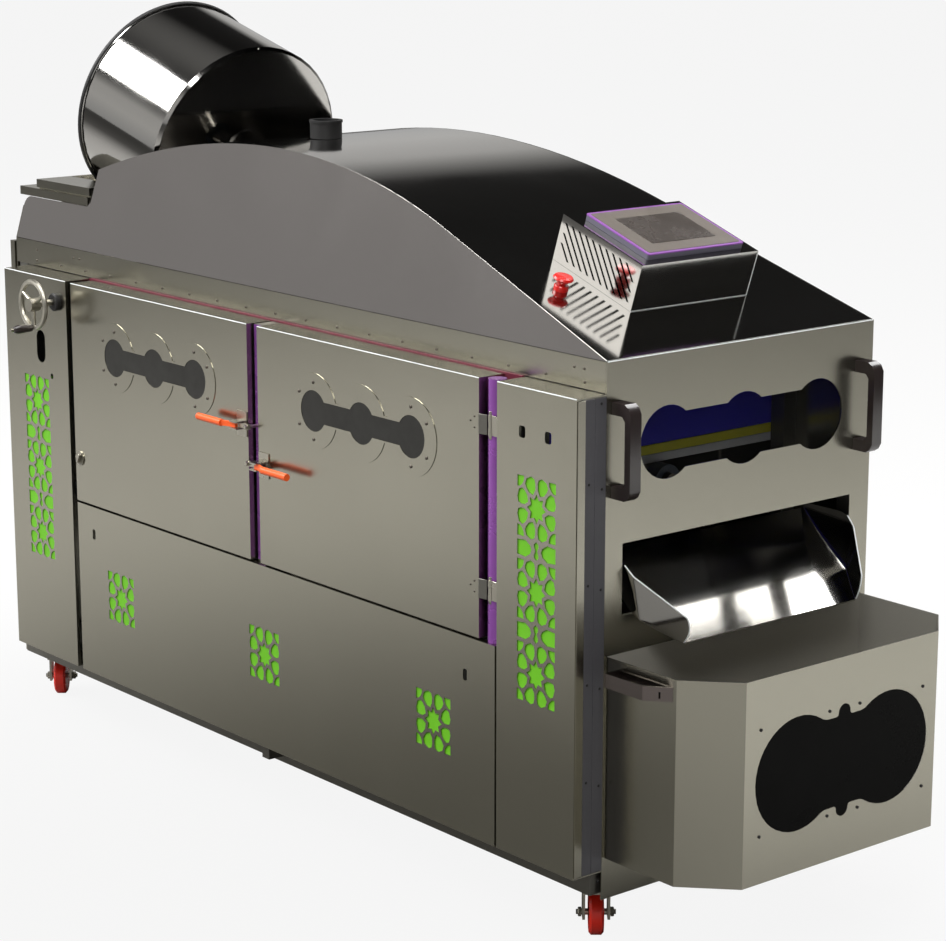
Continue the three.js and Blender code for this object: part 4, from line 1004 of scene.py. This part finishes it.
@operator("roaster.studio", "Studio")
class Studio(bpy.types.Operator):
    """Floor, lamps, backdrop and camera"""

    def execute(self, context):
        scene = context.scene
        scene.view_settings.view_transform = "Standard"
        self.floor()
        self.backdrop(scene)
        self.lamps(scene)
        self.camera(scene)
        return {"FINISHED"}

    def floor(self):
        """A pale plane, almost white to the camera, with painted shade in its colour: a painted shadow
        pool darkest under the machine, and a darker near side, which the steel mirrors.
        """
        corners = np.array([[-1, -1, 0], [1, -1, 0], [1, 1, 0], [-1, 1, 0]], float) * FLOOR_HALF
        mesh = bpy.data.meshes.new("studio_floor")
        mesh.from_pydata(corners.tolist(), [], [[0, 1, 2, 3]])
        floor = bpy.data.objects.new("studio_floor", mesh)
        bpy.context.scene.collection.objects.link(floor)
        made = bpy.data.materials.new("StudioFloorPaintedShade")
        made.use_nodes = True
        tree = made.node_tree
        tree.nodes.clear()
        path = node(tree, "ShaderNodeLightPath", (-600, 200))
        glow_share = node(tree, "ShaderNodeMath", (-400, 200), {1: CAMERA_GLOW}, operation="MULTIPLY")
        place = node(tree, "ShaderNodeTexCoord", (-1400, 0))
        shift = node(tree, "ShaderNodeVectorMath", (-1200, 0), {1: (-0.2, 0.9, 0)}, operation="ADD")
        flatten = node(tree, "ShaderNodeVectorMath", (-1000, 0), {1: (1, 1, 0)}, operation="MULTIPLY")
        reach = node(tree, "ShaderNodeVectorMath", (-800, 0), operation="LENGTH")
        # Painted shadow pool: the floor's colour darkens towards the machine
        shadow_pool_fade = node(tree, "ShaderNodeMapRange", (-600, 0), {"From Min": 0.2, "From Max": 3.4},
                    interpolation_type="SMOOTHSTEP")
        tone = node(tree, "ShaderNodeMix", (-500, -100), {"A": FLOOR_PAINTED_SHADE}, data_type="RGBA")
        sides = node(tree, "ShaderNodeSeparateXYZ", (-1200, -300))
        # Painted shade: the floor's colour is darker on the machine's near side
        beyond = node(tree, "ShaderNodeMapRange", (-1000, -300), {"From Min": -1.2, "From Max": 0.8},
                      interpolation_type="SMOOTHSTEP")
        outer = node(tree, "ShaderNodeMix", (-700, -300), {"A": FLOOR_NEAR_SHADE, "B": FLOOR_FAR},
                     data_type="RGBA")
        matt = node(tree, "ShaderNodeBsdfDiffuse", (-300, 0))
        glow = node(tree, "ShaderNodeEmission", (-400, -200), {"Strength": 1.0})
        mix = node(tree, "ShaderNodeMixShader", (-150, 100))
        out = node(tree, "ShaderNodeOutputMaterial", (50, 100))
        link = tree.links.new
        link(place.outputs["Object"], sides.inputs[0])
        link(sides.outputs["Y"], beyond.inputs["Value"])
        link(beyond.outputs["Result"], outer.inputs["Factor"])
        link(outer.outputs["Result"], tone.inputs["B"])
        link(place.outputs["Object"], shift.inputs[0])
        link(shift.outputs[0], flatten.inputs[0])
        link(flatten.outputs[0], reach.inputs[0])
        link(reach.outputs["Value"], shadow_pool_fade.inputs["Value"])
        link(shadow_pool_fade.outputs["Result"], tone.inputs["Factor"])
        link(tone.outputs["Result"], matt.inputs["Color"])
        link(path.outputs["Is Camera Ray"], glow_share.inputs[0])
        link(glow_share.outputs[0], mix.inputs["Fac"])
        link(matt.outputs[0], mix.inputs[1])
        link(glow.outputs[0], mix.inputs[2])
        link(mix.outputs[0], out.inputs["Surface"])
        mesh.materials.append(made)

    def backdrop(self, scene):
        """White to the camera; to gloss and light a pale band at the horizon under a dark ceiling.

        Towards the far front it fades, so that the polished sheets find something dark to mirror.
        """
        world = bpy.data.worlds.new("StudioWorld")
        scene.world = world
        world.use_nodes = True
        tree = world.node_tree
        tree.nodes.clear()
        path = node(tree, "ShaderNodeLightPath", (-600, 300))
        place = node(tree, "ShaderNodeTexCoord", (-900, 0))
        split = node(tree, "ShaderNodeSeparateXYZ", (-700, 0))
        ramp = node(tree, "ShaderNodeValToRGB", (-500, 0))
        stops = ramp.color_ramp.elements
        for stop, position, value in zip(stops, (0.0, 1.0), SKY_ENDS):
            stop.position = position
            stop.color = (value, value, value, 1)
        for position, value in SKY_STOPS:
            stops.new(position).color = (value, value * 0.99, value * 0.97, 1)
        far = node(tree, "ShaderNodeVectorMath", (-700, -300), {1: (0.77, 0.63, 0)},
                   operation="DOT_PRODUCT")
        dark = node(tree, "ShaderNodeMapRange", (-500, -300),
                    {"From Min": 0.25, "From Max": 0.75, "To Min": 1.0, "To Max": 0.05},
                    interpolation_type="SMOOTHSTEP")
        surround = node(tree, "ShaderNodeBackground", (-200, 0))
        white = node(tree, "ShaderNodeBackground", (-200, 200), {"Color": (1, 1, 1, 1)})
        mix = node(tree, "ShaderNodeMixShader", (50, 100))
        out = node(tree, "ShaderNodeOutputWorld", (250, 100))
        link = tree.links.new
        link(place.outputs["Generated"], far.inputs[0])
        link(far.outputs["Value"], dark.inputs["Value"])
        link(dark.outputs["Result"], surround.inputs["Strength"])
        link(place.outputs["Generated"], split.inputs[0])
        link(split.outputs["Z"], ramp.inputs["Fac"])
        link(ramp.outputs["Color"], surround.inputs["Color"])
        link(path.outputs["Is Camera Ray"], mix.inputs["Fac"])
        link(surround.outputs[0], mix.inputs[1])
        link(white.outputs[0], mix.inputs[2])
        link(mix.outputs[0], out.inputs["Surface"])

    def lamps(self, scene):
        """Large soft lamps: four look at the middle of the machine, and one at the chute's lip.

        The roof and the console have a side lamp of their own, and the roof and the drum are kept
        out of the lamp that shines on the chute.
        """
        lip = Vector(placed(CHUTE_LIP))
        outlet = lip + Vector(OUTLET_OFFSET)
        roof = bpy.data.objects["roof_sheet_skin"]
        console = NODES["console_box"]
        drum = bpy.data.objects["mixing_drum_skin"]
        for name, spot, target, size, tall, power, things, state in (
                ("band", LAMP_SIDE, MACHINE_MIDDLE, 5.6, 2.6, 760, (console, roof), "EXCLUDE"),
                ("side", LAMP_SIDE, MACHINE_MIDDLE, 5.6, 2.6, 118, (console, roof), "INCLUDE"),
                ("key", (4.8, -4.0, 7.0), MACHINE_MIDDLE, 3.0, 3.0, 330, (), None),
                ("top", (0.5, 0.3, 8.0), MACHINE_MIDDLE, 5.0, 5.0, 420, (), None),
                ("outlet", outlet, lip, 3.0, 1.6, 150, (drum, roof), "EXCLUDE")):
            data = bpy.data.lights.new(name, "AREA")
            data.energy = power
            data.shape = "RECTANGLE"
            data.size = size
            data.size_y = tall
            lamp = bpy.data.objects.new(name, data)
            lamp.location = spot
            towards = Vector(target) - Vector(spot)
            lamp.rotation_euler = towards.to_track_quat("-Z", "Y").to_euler()
            scene.collection.objects.link(lamp)
            if things:
                self.link_lamp(lamp, things, state)

    def link_lamp(self, lamp, things, state):
        """The lamp shines on these objects alone, or on all but them."""
        lit = bpy.data.collections.new(f"lit_by_{lamp.name}")
        lamp.light_linking.receiver_collection = lit
        for thing in things:
            lit.objects.link(thing)
        for linked in lit.collection_objects:
            linked.light_linking.link_state = state

    def camera(self, scene):
        """The camera is measured from the panel edges; its axes are the rows right, up and back."""
        forward = np.array([-0.7514, 0.6203, -0.225])
        forward /= np.linalg.norm(forward)
        right = np.array([0.6366, 0.7712, 0.0])
        right /= np.linalg.norm(right)
        up = np.cross(right, forward)
        spot = placed(CAMERA_PLACE)
        turn = Matrix((right, up, -forward)).transposed().to_4x4()
        data = bpy.data.cameras.new("Camera")
        data.sensor_width = SENSOR_WIDTH
        data.lens = SENSOR_WIDTH * FOCAL_PIXELS / PHOTO_WIDTH
        camera = bpy.data.objects.new("Camera", data)
        camera.matrix_world = Matrix.Translation(Vector(spot)) @ turn
        scene.collection.objects.link(camera)
        scene.camera = camera


class RoasterPanel(bpy.types.Panel):
    """Sizes, finishes and pieces of the roasting machine"""
    bl_idname = "VIEW3D_PT_roaster"
    bl_label = "Nut roasting machine"
    bl_space_type = "VIEW_3D"
    bl_region_type = "UI"
    bl_category = "Roaster"

    def draw(self, context):
        layout = self.layout
        for group in (context.scene.roaster_sizes, context.scene.roaster_finishes):
            for key in group.__annotations__:
                layout.prop(group, key)
        for made in OPERATORS:
            layout.operator(made.bl_idname)


CLASSES = [RoasterSizes, RoasterFinishes, *OPERATORS, RoasterPanel]


def register():
    for made in CLASSES:
        bpy.utils.register_class(made)
    bpy.types.Scene.roaster_sizes = bpy.props.PointerProperty(type=RoasterSizes)
    bpy.types.Scene.roaster_finishes = bpy.props.PointerProperty(type=RoasterFinishes)


def unregister():
    del bpy.types.Scene.roaster_finishes
    del bpy.types.Scene.roaster_sizes
    for made in reversed(CLASSES):
        bpy.utils.unregister_class(made)


def main():
    register()
    bpy.ops.roaster.body_finishes()
    bpy.ops.roaster.door_hinges()
    bpy.ops.roaster.door_fittings()
    bpy.ops.roaster.rivets()
    bpy.ops.roaster.column_fittings()
    bpy.ops.roaster.drum_shield()
    bpy.ops.roaster.bright_hems()
    bpy.ops.roaster.chute_sheet()
    bpy.ops.roaster.console_fittings()
    bpy.ops.roaster.drum_rim()
    bpy.ops.roaster.bin_fittings()
    bpy.ops.roaster.caster_fittings()
    bpy.ops.roaster.studio()


if __name__ == "__main__":
    main()
